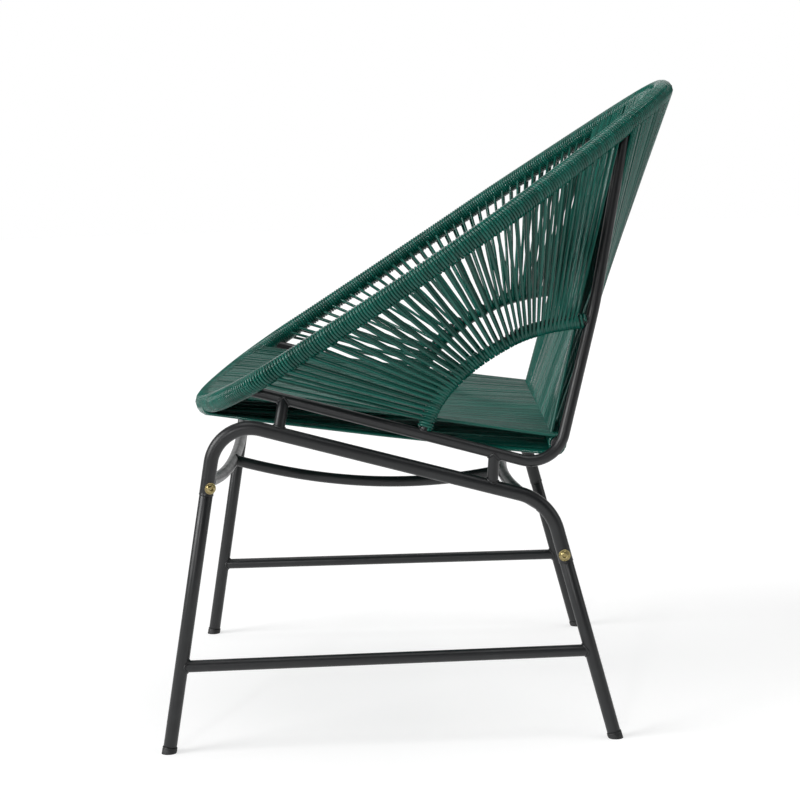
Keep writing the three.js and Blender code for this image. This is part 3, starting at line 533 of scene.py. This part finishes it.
def turnedShape(profile, origin, axis, material, sideCount=40, floorCut=False, cornerAt=None, crease=38):
    # A closed solid turned round an axis. Where a ring isn't round, cornerAt scales its radius at each angle.
    axis = unit(axis)
    side = unit(np.cross(axis, vec(0, 0, 1) if abs(axis[2]) < steep else vec(1, 0, 0)))
    other = np.cross(axis, side)
    points, faces = [], []
    for k, (radius, height) in enumerate(profile):
        for i in range(sideCount):
            angle = i / sideCount * turn
            reach = radius * (cornerAt(k, angle) if cornerAt else 1)
            points.append(origin + axis * height + (side * math.cos(angle) + other * math.sin(angle)) * reach)
    for low in range(0, (len(profile) - 1) * sideCount, sideCount):
        for i in range(sideCount):
            j = (i + 1) % sideCount
            faces.append((low + i, low + j, low + sideCount + j, low + sideCount + i))
    faces.append(tuple(range(sideCount))[::-1])
    faces.append(tuple((len(profile) - 1) * sideCount + i for i in range(sideCount)))
    placed = place(points)
    if floorCut:
        placed[:, 2] = np.maximum(placed[:, 2], 0)
    mesh = bpy.data.meshes.new("turned")
    mesh.from_pydata([tuple(p) for p in placed], [], faces)
    mesh.materials.append(material)
    mesh.polygons.foreach_set("use_smooth", [len(p.vertices) == 4 for p in mesh.polygons])
    mesh.set_sharp_from_angle(angle=math.radians(crease))
    made = bpy.data.objects.new("turned", mesh)
    collection.objects.link(made)
    return made


# Weld beads, where a tube's end meets another tube

# The insets are in points from a bent tube's end to where its bead is set out
beadSizes = {"radius": 1.5, "steps": 44, "ripple": 0.35, "sides": 8, "archInset": 8, "barInset": 2,
             "braceInset": 3}


def weldBead(tubeRun, otherRun, seed):
    # A run is a point on a tube's axis, the tube's direction and its radius. The bead walks round the first
    # tube's wall, and each of its points slides along that tube on to the other tube's wall.
    (start, way, radius), (otherPoint, otherWay, otherRadius) = tubeRun, otherRun
    way, otherWay = unit(way), unit(otherWay)
    side = unit(np.cross(way, otherWay))
    other = np.cross(way, side)
    dice = random.Random(seed)
    line = []
    for i in range(beadSizes["steps"]):
        angle = i / beadSizes["steps"] * turn
        onWall = start + (side * math.cos(angle) + other * math.sin(angle)) * radius
        # Where the line onWall + slide * way is otherRadius from the other tube's axis, on the near side
        across = way - otherWay * (way @ otherWay)
        away = (onWall - otherPoint) - otherWay * ((onWall - otherPoint) @ otherWay)
        square, slope = across @ across, across @ away
        inside = max(0, slope ** 2 - square * (away @ away - otherRadius ** 2))
        slide = (-slope - math.sqrt(inside)) / square
        line.append(onWall + way * slide + (onWall - start) / radius * dice.uniform(0, beadSizes["ripple"]))
    return tube(line, beadSizes["radius"], beadSizes["sides"], closed=True)


# Seat frame: rim, rails, arches, cross tube

joined([tube(rimPath.points[:-1][::2], rimSizes["radius"], closed=True)], "rim_hoop")

for side, sign in sides:
    front, corner, knee, top = railLines[side]
    frontWay = rimPath.tangent(sideShare(sign, railShare))
    topWay = rimPath.tangent(sideShare(sign, uprightShare))
    radius, rimRadius = railSizes["radius"], rimSizes["radius"]
    rail = [tube(railPaths[side].points, radius)]
    rail.append(weldBead((corner, front - corner, radius), (front, frontWay, rimRadius), seed=11))
    rail.append(weldBead((knee, top - knee, radius), (top, topWay, rimRadius), seed=12))
    joined(rail, f"{side}_side_rail")

    line = archPaths[side].points
    arch = [tube(line, archSizes["radius"])]
    inset = beadSizes["archInset"]
    for spot, before, way, seed in ((line[0], line[inset], corner - front, 13),
                                    (line[-1], line[-1 - inset], knee - corner, 14)):
        arch.append(weldBead((before, spot - before, archSizes["radius"]), (spot, way, radius), seed))
    joined(arch, f"{side}_arch_hoop")

crossEnds = [vec(crossSizes["x"], sign * crossSizes["halfLength"], crossSizes["height"]) for _, sign in sides]
crossTube = [tube(crossEnds, crossSizes["radius"])]
for (side, sign), end in zip(sides, crossEnds):
    corner, knee = railLines[side][1:3]
    near = pointWhere(corner, knee, 2, crossSizes["height"])
    near[0] = end[0] + crossSizes["railBehind"]  # The rail is in its bend here, off the straight line
    middle = vec(end[0], 0, end[2])
    crossTube.append(weldBead((middle, vec(0, sign, 0), crossSizes["radius"]),
                              (near, knee - corner, railSizes["radius"]), seed=15))
joined(crossTube, "rear_cross_tube")
print("seat frame made")


# Base: tubes, legs, glides, bolts, stretchers, posts

baseSizes = {"tube": 9.5, "leg": 9.0, "stretcher": 8.0, "post": 7.5, "crossbar": 8.0, "brace": 7.75,
             "frontRadius": 53, "rearRadius": 70, "stretcherFront": 116, "stretcherRear": 120,
             "crossbarRise": 19, "frontDip": 23, "frontSetBack": 7, "rearDip": 8, "rearBow": 40,
             "braceX": -20, "braceDip": 62}
legSizes = {
    "front": {"foot": (-297, 327), "corner": (-217, 312), "drop": 44.3, "socket": 101, "turn": 28},
    "rear": {"foot": (298, 312), "corner": (216, 306), "drop": 46.5, "socket": 82, "turn": 0},
}
postSizes = {"front": (-130, -138), "rear": (145, 141)}  # x on the rail and on the base tube
# Each shape is drawn as rings, past the piece's own radius and over its foot, mouth, seat or top
socketSizes = {"shape": [(-1.6, 0.3), (-0.3, 0), (0.25, 0.4), (0.25, 1.5), (0, 2.2), (0, 4)]}
legShapes = {"lower": [(-1.6, 0), (-0.5, 0), (0, 0.6)], "ring": 30,
             "upper": [(0, -1), (-0.5, -0.3), (-1.3, -0.3), (-1.3, 40)]}
glideSizes = {"radius": 10, "height": 9,
              "shape": [(-3, -6), (-0.5, -4), (0, -3), (0, 0), (0, 5.4), (-0.35, 5.9), (-0.35, 6.6), (0, 7),
                        (-0.2, 8.1), (-0.8, 8.7), (-2.6, 8.7), (-2.8, 27)]}
boltSizes = {"rise": 11, "clearance": 0.3, "head": 7.75, "headHeight": 4.6, "flange": 1.4, "shank": 3,
             "shankShape": [(0, -13), (0, 0)],
             "flangeShape": [(-0.4, 0), (0, 0.35), (0, 1.05), (-0.3, 1.4), (-1.3, 1.4)],
             "domeInset": 1.4, "domeFlat": 0.4, "domeSteps": 8, "socket": 2.5,
             "mouthShape": [(0.75, 0), (0.3, -0.25), (0.05, -0.4)],
             "hexShape": [(0, -0.6), (0, -2.4)], "hexScale": 1.1, "sides": 48}
ends = ("front", "rear")


def legLine(end, side, sign):
    sizes = legSizes[end]
    foot = vec(sizes["foot"][0], sign * sizes["foot"][1], 0)
    height = onRail(side, sizes["corner"][0])[2] - sizes["drop"]
    corner = vec(sizes["corner"][0], sign * sizes["corner"][1], height)
    mouth = foot + (corner - foot) * (height - sizes["socket"]) / height
    return {"foot": foot, "corner": corner, "way": unit(corner - foot), "mouth": mouth}


def onLeg(line, height):
    return line["foot"] + (line["corner"] - line["foot"]) * height / line["corner"][2]


def makeSocket(line):
    shape = rings(baseSizes["tube"], socketSizes["shape"])
    return turnedShape(shape, line["mouth"], line["way"], powderCoat)


def makeLeg(line):
    radius, reach = baseSizes["leg"], np.linalg.norm(line["mouth"] - line["foot"])
    shape = rings(radius, legShapes["lower"], glideSizes["height"])
    shape += [(radius, legShapes["ring"]), (radius, reach / 2)] + rings(radius, legShapes["upper"], reach)
    return turnedShape(shape, line["foot"], line["way"], powderCoat)


def makeGlide(line):
    shape = rings(glideSizes["radius"], glideSizes["shape"])
    return turnedShape(shape, line["foot"], line["way"], polyethylene, floorCut=True)


def makeBolt(line, end, sign):
    way = vec(0, sign, 0)
    way = unit(way - line["way"] * (way @ line["way"]))
    swing = Matrix.Rotation(-sign * math.radians(legSizes[end]["turn"]), 3, Vector(line["way"]))
    seat = baseSizes["tube"] + boltSizes["clearance"]
    top = seat + boltSizes["headHeight"]
    shape = rings(boltSizes["shank"], boltSizes["shankShape"], seat)
    shape += rings(boltSizes["head"], boltSizes["flangeShape"], seat)
    dome, flat = boltSizes["head"] - boltSizes["domeInset"], boltSizes["domeFlat"]
    domeFoot = seat + boltSizes["flange"]
    for i in range(1, boltSizes["domeSteps"]):
        angle = i / boltSizes["domeSteps"] * math.pi / 2
        reach = dome * math.cos(angle) * (1 - flat) + dome * flat
        shape.append((reach, domeFoot + (top - domeFoot) * math.sin(angle)))
    shape += rings(boltSizes["socket"], boltSizes["mouthShape"], top)
    hexFrom = len(shape)
    shape += rings(boltSizes["socket"], boltSizes["hexShape"], top)

    def hexagon(k, angle):
        if k < hexFrom:
            return 1
        halfSide = math.pi / 6
        within = (angle + halfSide) % (2 * halfSide) - halfSide
        return math.cos(halfSide) / math.cos(within) * boltSizes["hexScale"]

    centre = line["mouth"] + line["way"] * boltSizes["rise"]
    way = np.array(swing @ Vector(way))
    return turnedShape(shape, centre, way, yellowZinc, boltSizes["sides"], cornerAt=hexagon)


def makePost(side, railX, baseX, first, last):
    top = onRail(side, railX)
    bottom = pointWhere(first, last, 0, baseX)
    middle, radius = (top + bottom) / 2, baseSizes["post"]
    front, corner = railLines[side][:2]
    railRun = (top, corner - front, railSizes["radius"])
    baseRun = (bottom, last - first, baseSizes["tube"])
    return [tube([top, bottom], radius), weldBead((middle, top - bottom, radius), railRun, seed=22),
            weldBead((middle, bottom - top, radius), baseRun, seed=23)]


baseLines = {side: {end: legLine(end, side, sign) for end in ends} for side, sign in sides}
for side, sign in sides:
    front, rear = baseLines[side]["front"], baseLines[side]["rear"]
    run = roundedRun([front["mouth"], front["corner"], rear["corner"], rear["mouth"]],
                     [baseSizes["frontRadius"], baseSizes["rearRadius"]])
    base = [tube(run, baseSizes["tube"])]
    low, high = onLeg(front, baseSizes["stretcherFront"]), onLeg(rear, baseSizes["stretcherRear"])
    stretcher = [tube([low, high], baseSizes["stretcher"])]
    for end, line, way in (("front", front, low - high), ("rear", rear, high - low)):
        base.append(makeSocket(line))
        joined([makeLeg(line)], f"{end}_{side}_leg")
        joined([makeGlide(line)], f"{end}_{side}_glide")
        joined([makeBolt(line, end, sign)], f"{end}_{side}_bolt")
        stretcher.append(weldBead(((low + high) / 2, way, baseSizes["stretcher"]),
                                  (line["foot"], line["way"], baseSizes["leg"]), seed=21))
    joined(base, f"{side}_base_tube")
    joined(stretcher, f"{side}_stretcher")
    for end, (railX, baseX) in postSizes.items():
        joined(makePost(side, railX, baseX, front["corner"], rear["corner"]), f"{end}_{side}_seat_post")


def bowed(first, control, last, steps=36):
    # A parabola from first to last, drawn towards the control point
    return [first * (1 - t) ** 2 + control * 2 * t * (1 - t) + last * t ** 2
            for t in np.linspace(0, 1, steps)]


def rearBend(lines):
    # The middle of the bend at a base tube's rear
    corner = lines["rear"]["corner"]
    inward, downward = unit(lines["front"]["corner"] - corner), unit(lines["rear"]["foot"] - corner)
    half, radius = math.acos(inward @ downward) / 2, baseSizes["rearRadius"]
    return corner + unit(inward + downward) * (radius / math.sin(half) - radius)


frontEnds = [onLeg(lines["front"], lines["front"]["mouth"][2] + baseSizes["crossbarRise"])
             for lines in baseLines.values()]
frontMiddle = vec(frontEnds[0][0] + baseSizes["frontSetBack"], 0, frontEnds[0][2] - baseSizes["frontDip"])
rearEnds = [rearBend(lines) for lines in baseLines.values()]
rearHeight = baseLines["left"]["rear"]["corner"][2] - baseSizes["rearDip"]
rearMiddle = vec(rearEnds[0][0] - baseSizes["rearBow"], 0, rearHeight)
for end, (first, last), middle in (("front", frontEnds, frontMiddle), ("rear", rearEnds, rearMiddle)):
    line = bowed(first, 2 * middle - (first + last) / 2, last)
    bar = [tube(line, baseSizes["crossbar"])]
    inset = beadSizes["barInset"]
    for side, spot, before in (("left", line[0], line[inset]), ("right", line[-1], line[-1 - inset])):
        run = baseLines[side][end]
        way = run["way"]
        if end == "rear":  # This bar meets the base tube halfway round its bend
            way = unit(run["corner"] - baseLines[side]["front"]["corner"]) - run["way"]
        barRun = (before, spot - before, baseSizes["crossbar"])
        bar.append(weldBead(barRun, (spot, way, baseSizes["tube"]), seed=24))
    joined(bar, f"{end}_base_crossbar")

braceControl = vec(baseSizes["braceX"], 0, frontMiddle[2] - baseSizes["braceDip"])
line = bowed(frontMiddle, braceControl, rearMiddle)
brace = [tube(line, baseSizes["brace"])]
inset = beadSizes["braceInset"]
for spot, before in ((line[0], line[inset]), (line[-1], line[-1 - inset])):
    barRun = (spot, vec(0, 1, 0), baseSizes["crossbar"])
    brace.append(weldBead((before, spot - before, baseSizes["brace"]), barRun, seed=25))
joined(brace, "centre_base_brace")

for end in ends:
    for side, _ in sides:
        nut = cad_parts[f"{end}_{side}_nut"]
        for holder in nut.material_slots:
            holder.material = yellowZinc
print("base made")


# Windings that carry no panel

def rimWinding(name, low, high, seed):
    joined([winding(rimPath.stretch(low, high), rimSizes["radius"], seed)], name)


rimWinding("rim_winding_front", -windingShare, windingShare, seed=31)
rimWinding("rim_winding_left", windingShare, uprightShare, seed=32)
rimWinding("rim_winding_right", 1 - uprightShare, 1 - windingShare, seed=33)
print("rim windings made")


# Strands between two wound tubes

strandSizes = {"sink": 0.2, "unevenness": 1.3, "wobble": 0.25, "steps": 6, "tuck": 0.15, "leastSlant": 0.25,
               "curl": (0.4, 0.8, 1.2), "curlSink": 1}
rowSizes = {"small": 9, "large": 27, "largeGap": 0.9, "jitter": 0.06}


def squareTo(tangent, way, outward):
    normal = unit(np.cross(tangent, way))
    return -normal if normal @ outward < 0 else normal


def turnRadius(coreRadius):
    return coreRadius + cordSizes["clearance"] + cordSizes["radius"]


def underTurns(point, way, tangent, offset, core):
    # Draws a strand's end back along its way, to where it goes in under the turns on that tube
    reach = math.sqrt(max(0, (turnRadius(core) + strandSizes["tuck"]) ** 2 - offset ** 2))
    slant = max(strandSizes["leastSlant"], np.linalg.norm(np.cross(way, tangent)))
    return point + way * reach / slant


def between(first, last, dice, sag=0.0):
    # A strand's points, each a little off the straight line
    wobble, line = strandSizes["wobble"], []
    for i in range(strandSizes["steps"] + 1):
        t = i / strandSizes["steps"]
        shift = vec(*(dice.gauss(0, wobble) for _ in range(3))) * math.sin(math.pi * t)
        line.append(first + (last - first) * t + shift - vec(0, 0, sag * bulge(t)))
    return line


def curledEnd(axis, tangent, normal, inward, radius, core):
    # From over the turns, round the tube's far side and in between them
    past = unit(tangent * (inward @ tangent) - inward)
    drop = turnRadius(core) - strandSizes["curlSink"] - radius
    return [axis + (normal * math.cos(a) + past * math.sin(a)) * (radius + drop * a / strandSizes["curl"][-1])
            for a in strandSizes["curl"]]


def strandLine(start, end, outward, dice, sag=0.0, over=0.0):
    # A spot is a point on a tube's axis, the tube's direction there and its radius. With over, the strand
    # lies that far outside the turns and its ends curl round them.
    points, curls = [], []
    level = dice.uniform(0, strandSizes["unevenness"])
    way = unit(end[0] - start[0])
    for (axis, tangent, core), inward in ((start, way), (end, -way)):
        offset = turnRadius(core) - strandSizes["sink"] - level + over
        normal = squareTo(tangent, way, outward)
        points.append(underTurns(axis + normal * offset, inward, tangent, offset, core))
        curls.append(curledEnd(axis, tangent, normal, inward, offset, core) if over else [])
    return curls[0][::-1] + between(points[0], points[1], dice, sag) + curls[1]


def cordRow(count, smallGap, dice):
    # Shares from 0 to 1 for a row of cords that bunch in groups
    small, large, jitter = rowSizes["small"], rowSizes["large"], rowSizes["jitter"]
    steps = []
    for i in range(1, count):
        gap = (smallGap if i % small == 0 else 0) + (rowSizes["largeGap"] if i % large == 0 else 0)
        steps.append(1 + gap + dice.uniform(-jitter, jitter))
    marks = np.concatenate([[0], np.cumsum(steps)])
    return marks / marks[-1]


def crossSpot(y):
    return vec(crossSizes["x"], y, crossSizes["height"]), vec(0, 1, 0), crossSizes["radius"]


def rimCordSpot(share):
    return rimPath.at(share), rimPath.tangent(share), rimSizes["radius"]


def rimShareAt(y, halvings=30):
    # Where the rim's front is that far to the side
    low, high = 0.0, railShare
    for _ in range(halvings):
        middle = (low + high) / 2
        if -rimPath.at(middle)[1] < abs(y):
            low = middle
        else:
            high = middle
    return low if y < 0 else 1 - low


# Seat and back

seatSizes = {
    "upper": {"outward": vec(0, 0, 1), "cords": 128, "spread": 0.875, "sag": 1.5, "over": 0},
    "lower": {"outward": vec(0, 0, -1), "cords": 96, "spread": 0.55, "sag": 2.0, "over": 4.1},
}
backSizes = {"cords": 102, "spread": 0.95, "margin": 0.005}
groupGaps = {"seat": 0.5, "back": 0.6}  # Between small groups of cords, in spacings
halfWound = crossSizes["woundHalfLength"]
layoutSeed = 5
dice = random.Random(layoutSeed)
seatLines = []
for layer in seatSizes.values():
    for share in cordRow(layer["cords"], groupGaps["seat"], dice):
        y = (share * 2 - 1) * halfWound
        rimEnd = rimCordSpot(rimShareAt(y * layer["spread"]))
        seatLines.append(strandLine(crossSpot(y), rimEnd, layer["outward"], dice, layer["sag"],
                                    layer["over"]))
crossWound = [vec(crossSizes["x"], sign * halfWound, crossSizes["height"]) for _, sign in sides]
crossWinding = winding(crossWound, crossSizes["radius"], seed=42)
joined([strands(seatLines, seed=41), crossWinding], "seat_cords")

backLines = []
for outward in (vec(-1, 0, 0), vec(1, 0, 0)):
    for share in cordRow(backSizes["cords"], groupGaps["back"], dice):
        along = backSizes["margin"] + share * (1 - 2 * backSizes["margin"])
        rimShare = uprightShare + (1 - 2 * uprightShare) * along
        y = (along * 2 - 1) * halfWound * backSizes["spread"]
        backLines.append(strandLine(rimCordSpot(rimShare), crossSpot(y), outward, dice))
backWinding = winding(rimPath.stretch(uprightShare, 1 - uprightShare), rimSizes["radius"], seed=43)
joined([strands(backLines, seed=44), backWinding], "back_cords")
print("seat and back made")


# Side fans: each cord comes down outside, goes one and a half turns round the arch and runs back up
# inside, beside itself. A row gives a place on the rim, the place on the arch for it, and how far along
# the rim in mm the run inside ends from the run outside.

fanSizes = {"cords": 37, "rimOffset": 9, "beside": 3.6, "slip": 0.3, "roomy": 8.0, "halfTurnSteps": 6,
            "bareFront": 0.028, "bareRear": 0.972, "edge": 0.008, "spacing": 2.0, "layoutSeed": 60,
            "toneSeed": 50}
fanRows = [(0.1425, 0.075, -5.0), (0.1965, 0.26, -3.6), (0.2116, 0.3257, -2.0), (0.2254, 0.3717, -0.6),
           (0.241, 0.4359, 0.9), (0.2574, 0.5021, 3.5), (0.2729, 0.5619, 6.0), (0.2877, 0.6172, 8.6),
           (0.3066, 0.6729, 10.5), (0.334, 0.7469, 11.0), (0.4, 0.93, 10.0)]
# Each fan's first cord, and the next fan's
fanEnds = {"front": (0, 12), "middle": (12, 26), "rear": (26, 37)}
rimColumn, archColumn, slipColumn = zip(*fanRows)
rimStep = (rimColumn[-1] - rimColumn[0]) / (fanSizes["cords"] - 1)


def fanLine(arch, rimShares, archShares, crowded, outward, dice):
    # The two shares on the rim are for the run outside and the run inside. On the arch there is one more
    # between them, for the whole turn that fills the gap to the next cord, sunk where it is crowded.
    radius = turnRadius(archSizes["radius"])
    runs, faces = [], []
    for rimShare, archShare, side in zip(rimShares, archShares[::2], (outward, -outward)):
        foot, footWay = arch.at(archShare), arch.tangent(archShare)
        head, headWay = rimPath.at(rimShare), rimPath.tangent(rimShare)
        way = unit(head - foot)
        last = head + squareTo(headWay, way, side) * fanSizes["rimOffset"]
        last = underTurns(last, -way, headWay, fanSizes["rimOffset"], rimSizes["radius"])
        runs.append(between(foot + squareTo(footWay, way, side) * radius, last, dice))
        faces.append((squareTo(footWay, way, outward), unit(footWay * (way @ footWay) - way)))
    normal, below = faces[0]
    halfTurn = fanSizes["halfTurnSteps"]
    marks = (0, 2 * halfTurn, 3 * halfTurn)
    under = []
    for i in range(1, marks[-1]):
        angle = i / halfTurn * math.pi
        reach = radius - crowded * math.sin(i / marks[-1] * math.pi)
        foot = arch.at(np.interp(i, marks, archShares))
        under.append(foot + (normal * math.cos(angle) + below * math.sin(angle)) * reach)
    return runs[0][::-1] + under + runs[1]


def fanCord(cord, arch, sign, dice):
    # The shares of one cord, counted from the front
    beside = fanSizes["beside"] / arch.length
    rimMiddle = rimColumn[0] + rimStep * cord + dice.gauss(0, fanSizes["slip"]) / rimPath.length
    archMiddle, archNext = (np.interp(rimMiddle + step, rimColumn, archColumn) for step in (0, rimStep))
    apart = np.interp(rimMiddle, rimColumn, slipColumn) / rimPath.length / 2
    room = archNext - archMiddle if cord < fanSizes["cords"] - 1 else beside * 2
    archShares = [archMiddle - room / 4, archMiddle + room / 4, archMiddle + beside / 2]
    rimShares = [sideShare(sign, rimMiddle - apart), sideShare(sign, rimMiddle + apart)]
    crowded = max(0, fanSizes["roomy"] - room * arch.length) / 2
    return fanLine(arch, rimShares, archShares, crowded, vec(0, sign, 0), dice)


# The arch's bare ends before the first cord and behind the last, and the seeds of their windings
bareEnds = {"front": (fanSizes["bareFront"], archColumn[0] - fanSizes["edge"], 71),
            "rear": (archColumn[-1] + fanSizes["edge"], fanSizes["bareRear"], 72)}
for side, sign in sides:
    arch = archPaths[side]
    dice = random.Random(fanSizes["layoutSeed"] + sign)
    for fan, (first, last) in fanEnds.items():
        cords = [fanCord(cord, arch, sign, dice) for cord in range(first, last)]
        made = [strands(cords, fanSizes["toneSeed"] + first)]
        if fan in bareEnds:
            low, high, seed = bareEnds[fan]
            made.append(winding(arch.stretch(low, high, fanSizes["spacing"]), archSizes["radius"], seed))
        joined(made, f"{side}_side_cords_{fan}")
print("side fans made")


floorSizes = {"radius": 14000, "sides": 96}


def makeFloor(sizes):
    reach = sizes["radius"] * mm
    angles = [i / sizes["sides"] * turn for i in range(sizes["sides"])]
    ring = [(reach * math.cos(angle), reach * math.sin(angle), 0) for angle in angles]
    mesh = bpy.data.meshes.new("studio_floor")
    mesh.from_pydata(ring, [], [tuple(range(len(ring)))])
    mesh.materials.append(paper)
    floor = bpy.data.objects.new("studio_floor", mesh)
    collection.objects.link(floor)


# Soft boxes far enough away to light the floor evenly. A turn is degrees round from the picture's right,
# against the clock seen from above, and the angle is how wide the box looks from the chair.
lightSizes = {
    "soft box above": {"turn": 0, "height": 84, "angle": 50, "strength": 1.15},
    "soft box left": {"turn": 200, "height": 28, "angle": 34, "strength": 2.5},
    "soft box right": {"turn": -12, "height": 24, "angle": 40, "strength": 0.4},
    "strip light": {"turn": 254, "height": 17, "angle": 5, "strength": 0.55},
}
lampDistance = 4  # In metres, only to see the lamps apart: a sun lights the same from anywhere
worldSizes = {"room": 0.07, "backdrop": 0.22, "fade": (-0.3, 0.6), "edge": (0.6, 0.9)}


def addLight(name, sizes):
    data = bpy.data.lights.new(name, "SUN")
    data.angle = math.radians(sizes["angle"])
    data.energy = sizes["strength"]
    light = bpy.data.objects.new(name, data)
    turned, height = math.radians(sizes["turn"]), math.radians(sizes["height"])
    across = math.cos(height)
    towards = Vector((math.cos(turned) * across, math.sin(turned) * across, math.sin(height)))
    light.rotation_euler = towards.to_track_quat("Z", "Y").to_euler()
    light.location = towards * lampDistance
    collection.objects.link(light)


def makeWorld(sizes):
    # White for the camera, and behind the chair also for shiny and clear surfaces, which show it too.
    # Otherwise a pale backdrop behind the chair and a dark room before it.
    world = bpy.data.worlds.new("white studio")
    world.use_nodes = True
    tree = world.node_tree
    white = tree.nodes["Background"]
    feed(tree, white, Color=(1, 1, 1, 1), Strength=1.0)
    way = addNode(tree, "ShaderNodeSeparateXYZ", Vector=out(addNode(tree, "ShaderNodeTexCoord"), "Generated"))
    camera = out(addNode(tree, "ShaderNodeLightPath"), "Is Camera Ray")
    lit = addNode(tree, "ShaderNodeMapRange", Value=out(way, "Y"), FromMin=sizes["fade"][0],
                  FromMax=sizes["fade"][1], ToMin=sizes["room"], ToMax=sizes["backdrop"])
    studio = addNode(tree, "ShaderNodeBackground", Color=(1, 1, 1, 1), Strength=lit)
    behind = addNode(tree, "ShaderNodeMapRange", Value=out(way, "Y"), FromMin=sizes["edge"][0],
                     FromMax=sizes["edge"][1])
    shown = addNode(tree, "ShaderNodeMath", {"operation": "MULTIPLY"}, in0=seenDirectly(tree), in1=behind)
    seen = addNode(tree, "ShaderNodeMath", {"operation": "MAXIMUM"}, in0=camera, in1=shown)
    mix = addNode(tree, "ShaderNodeMixShader", in0=seen, in1=studio, in2=white)
    feed(tree, tree.nodes["World Output"], Surface=mix)
    bpy.context.scene.world = world


makeFloor(floorSizes)
for name, sizes in lightSizes.items():
    addLight(name, sizes)
makeWorld(worldSizes)
bpy.context.scene.view_settings.view_transform = "Standard"
print("studio made")
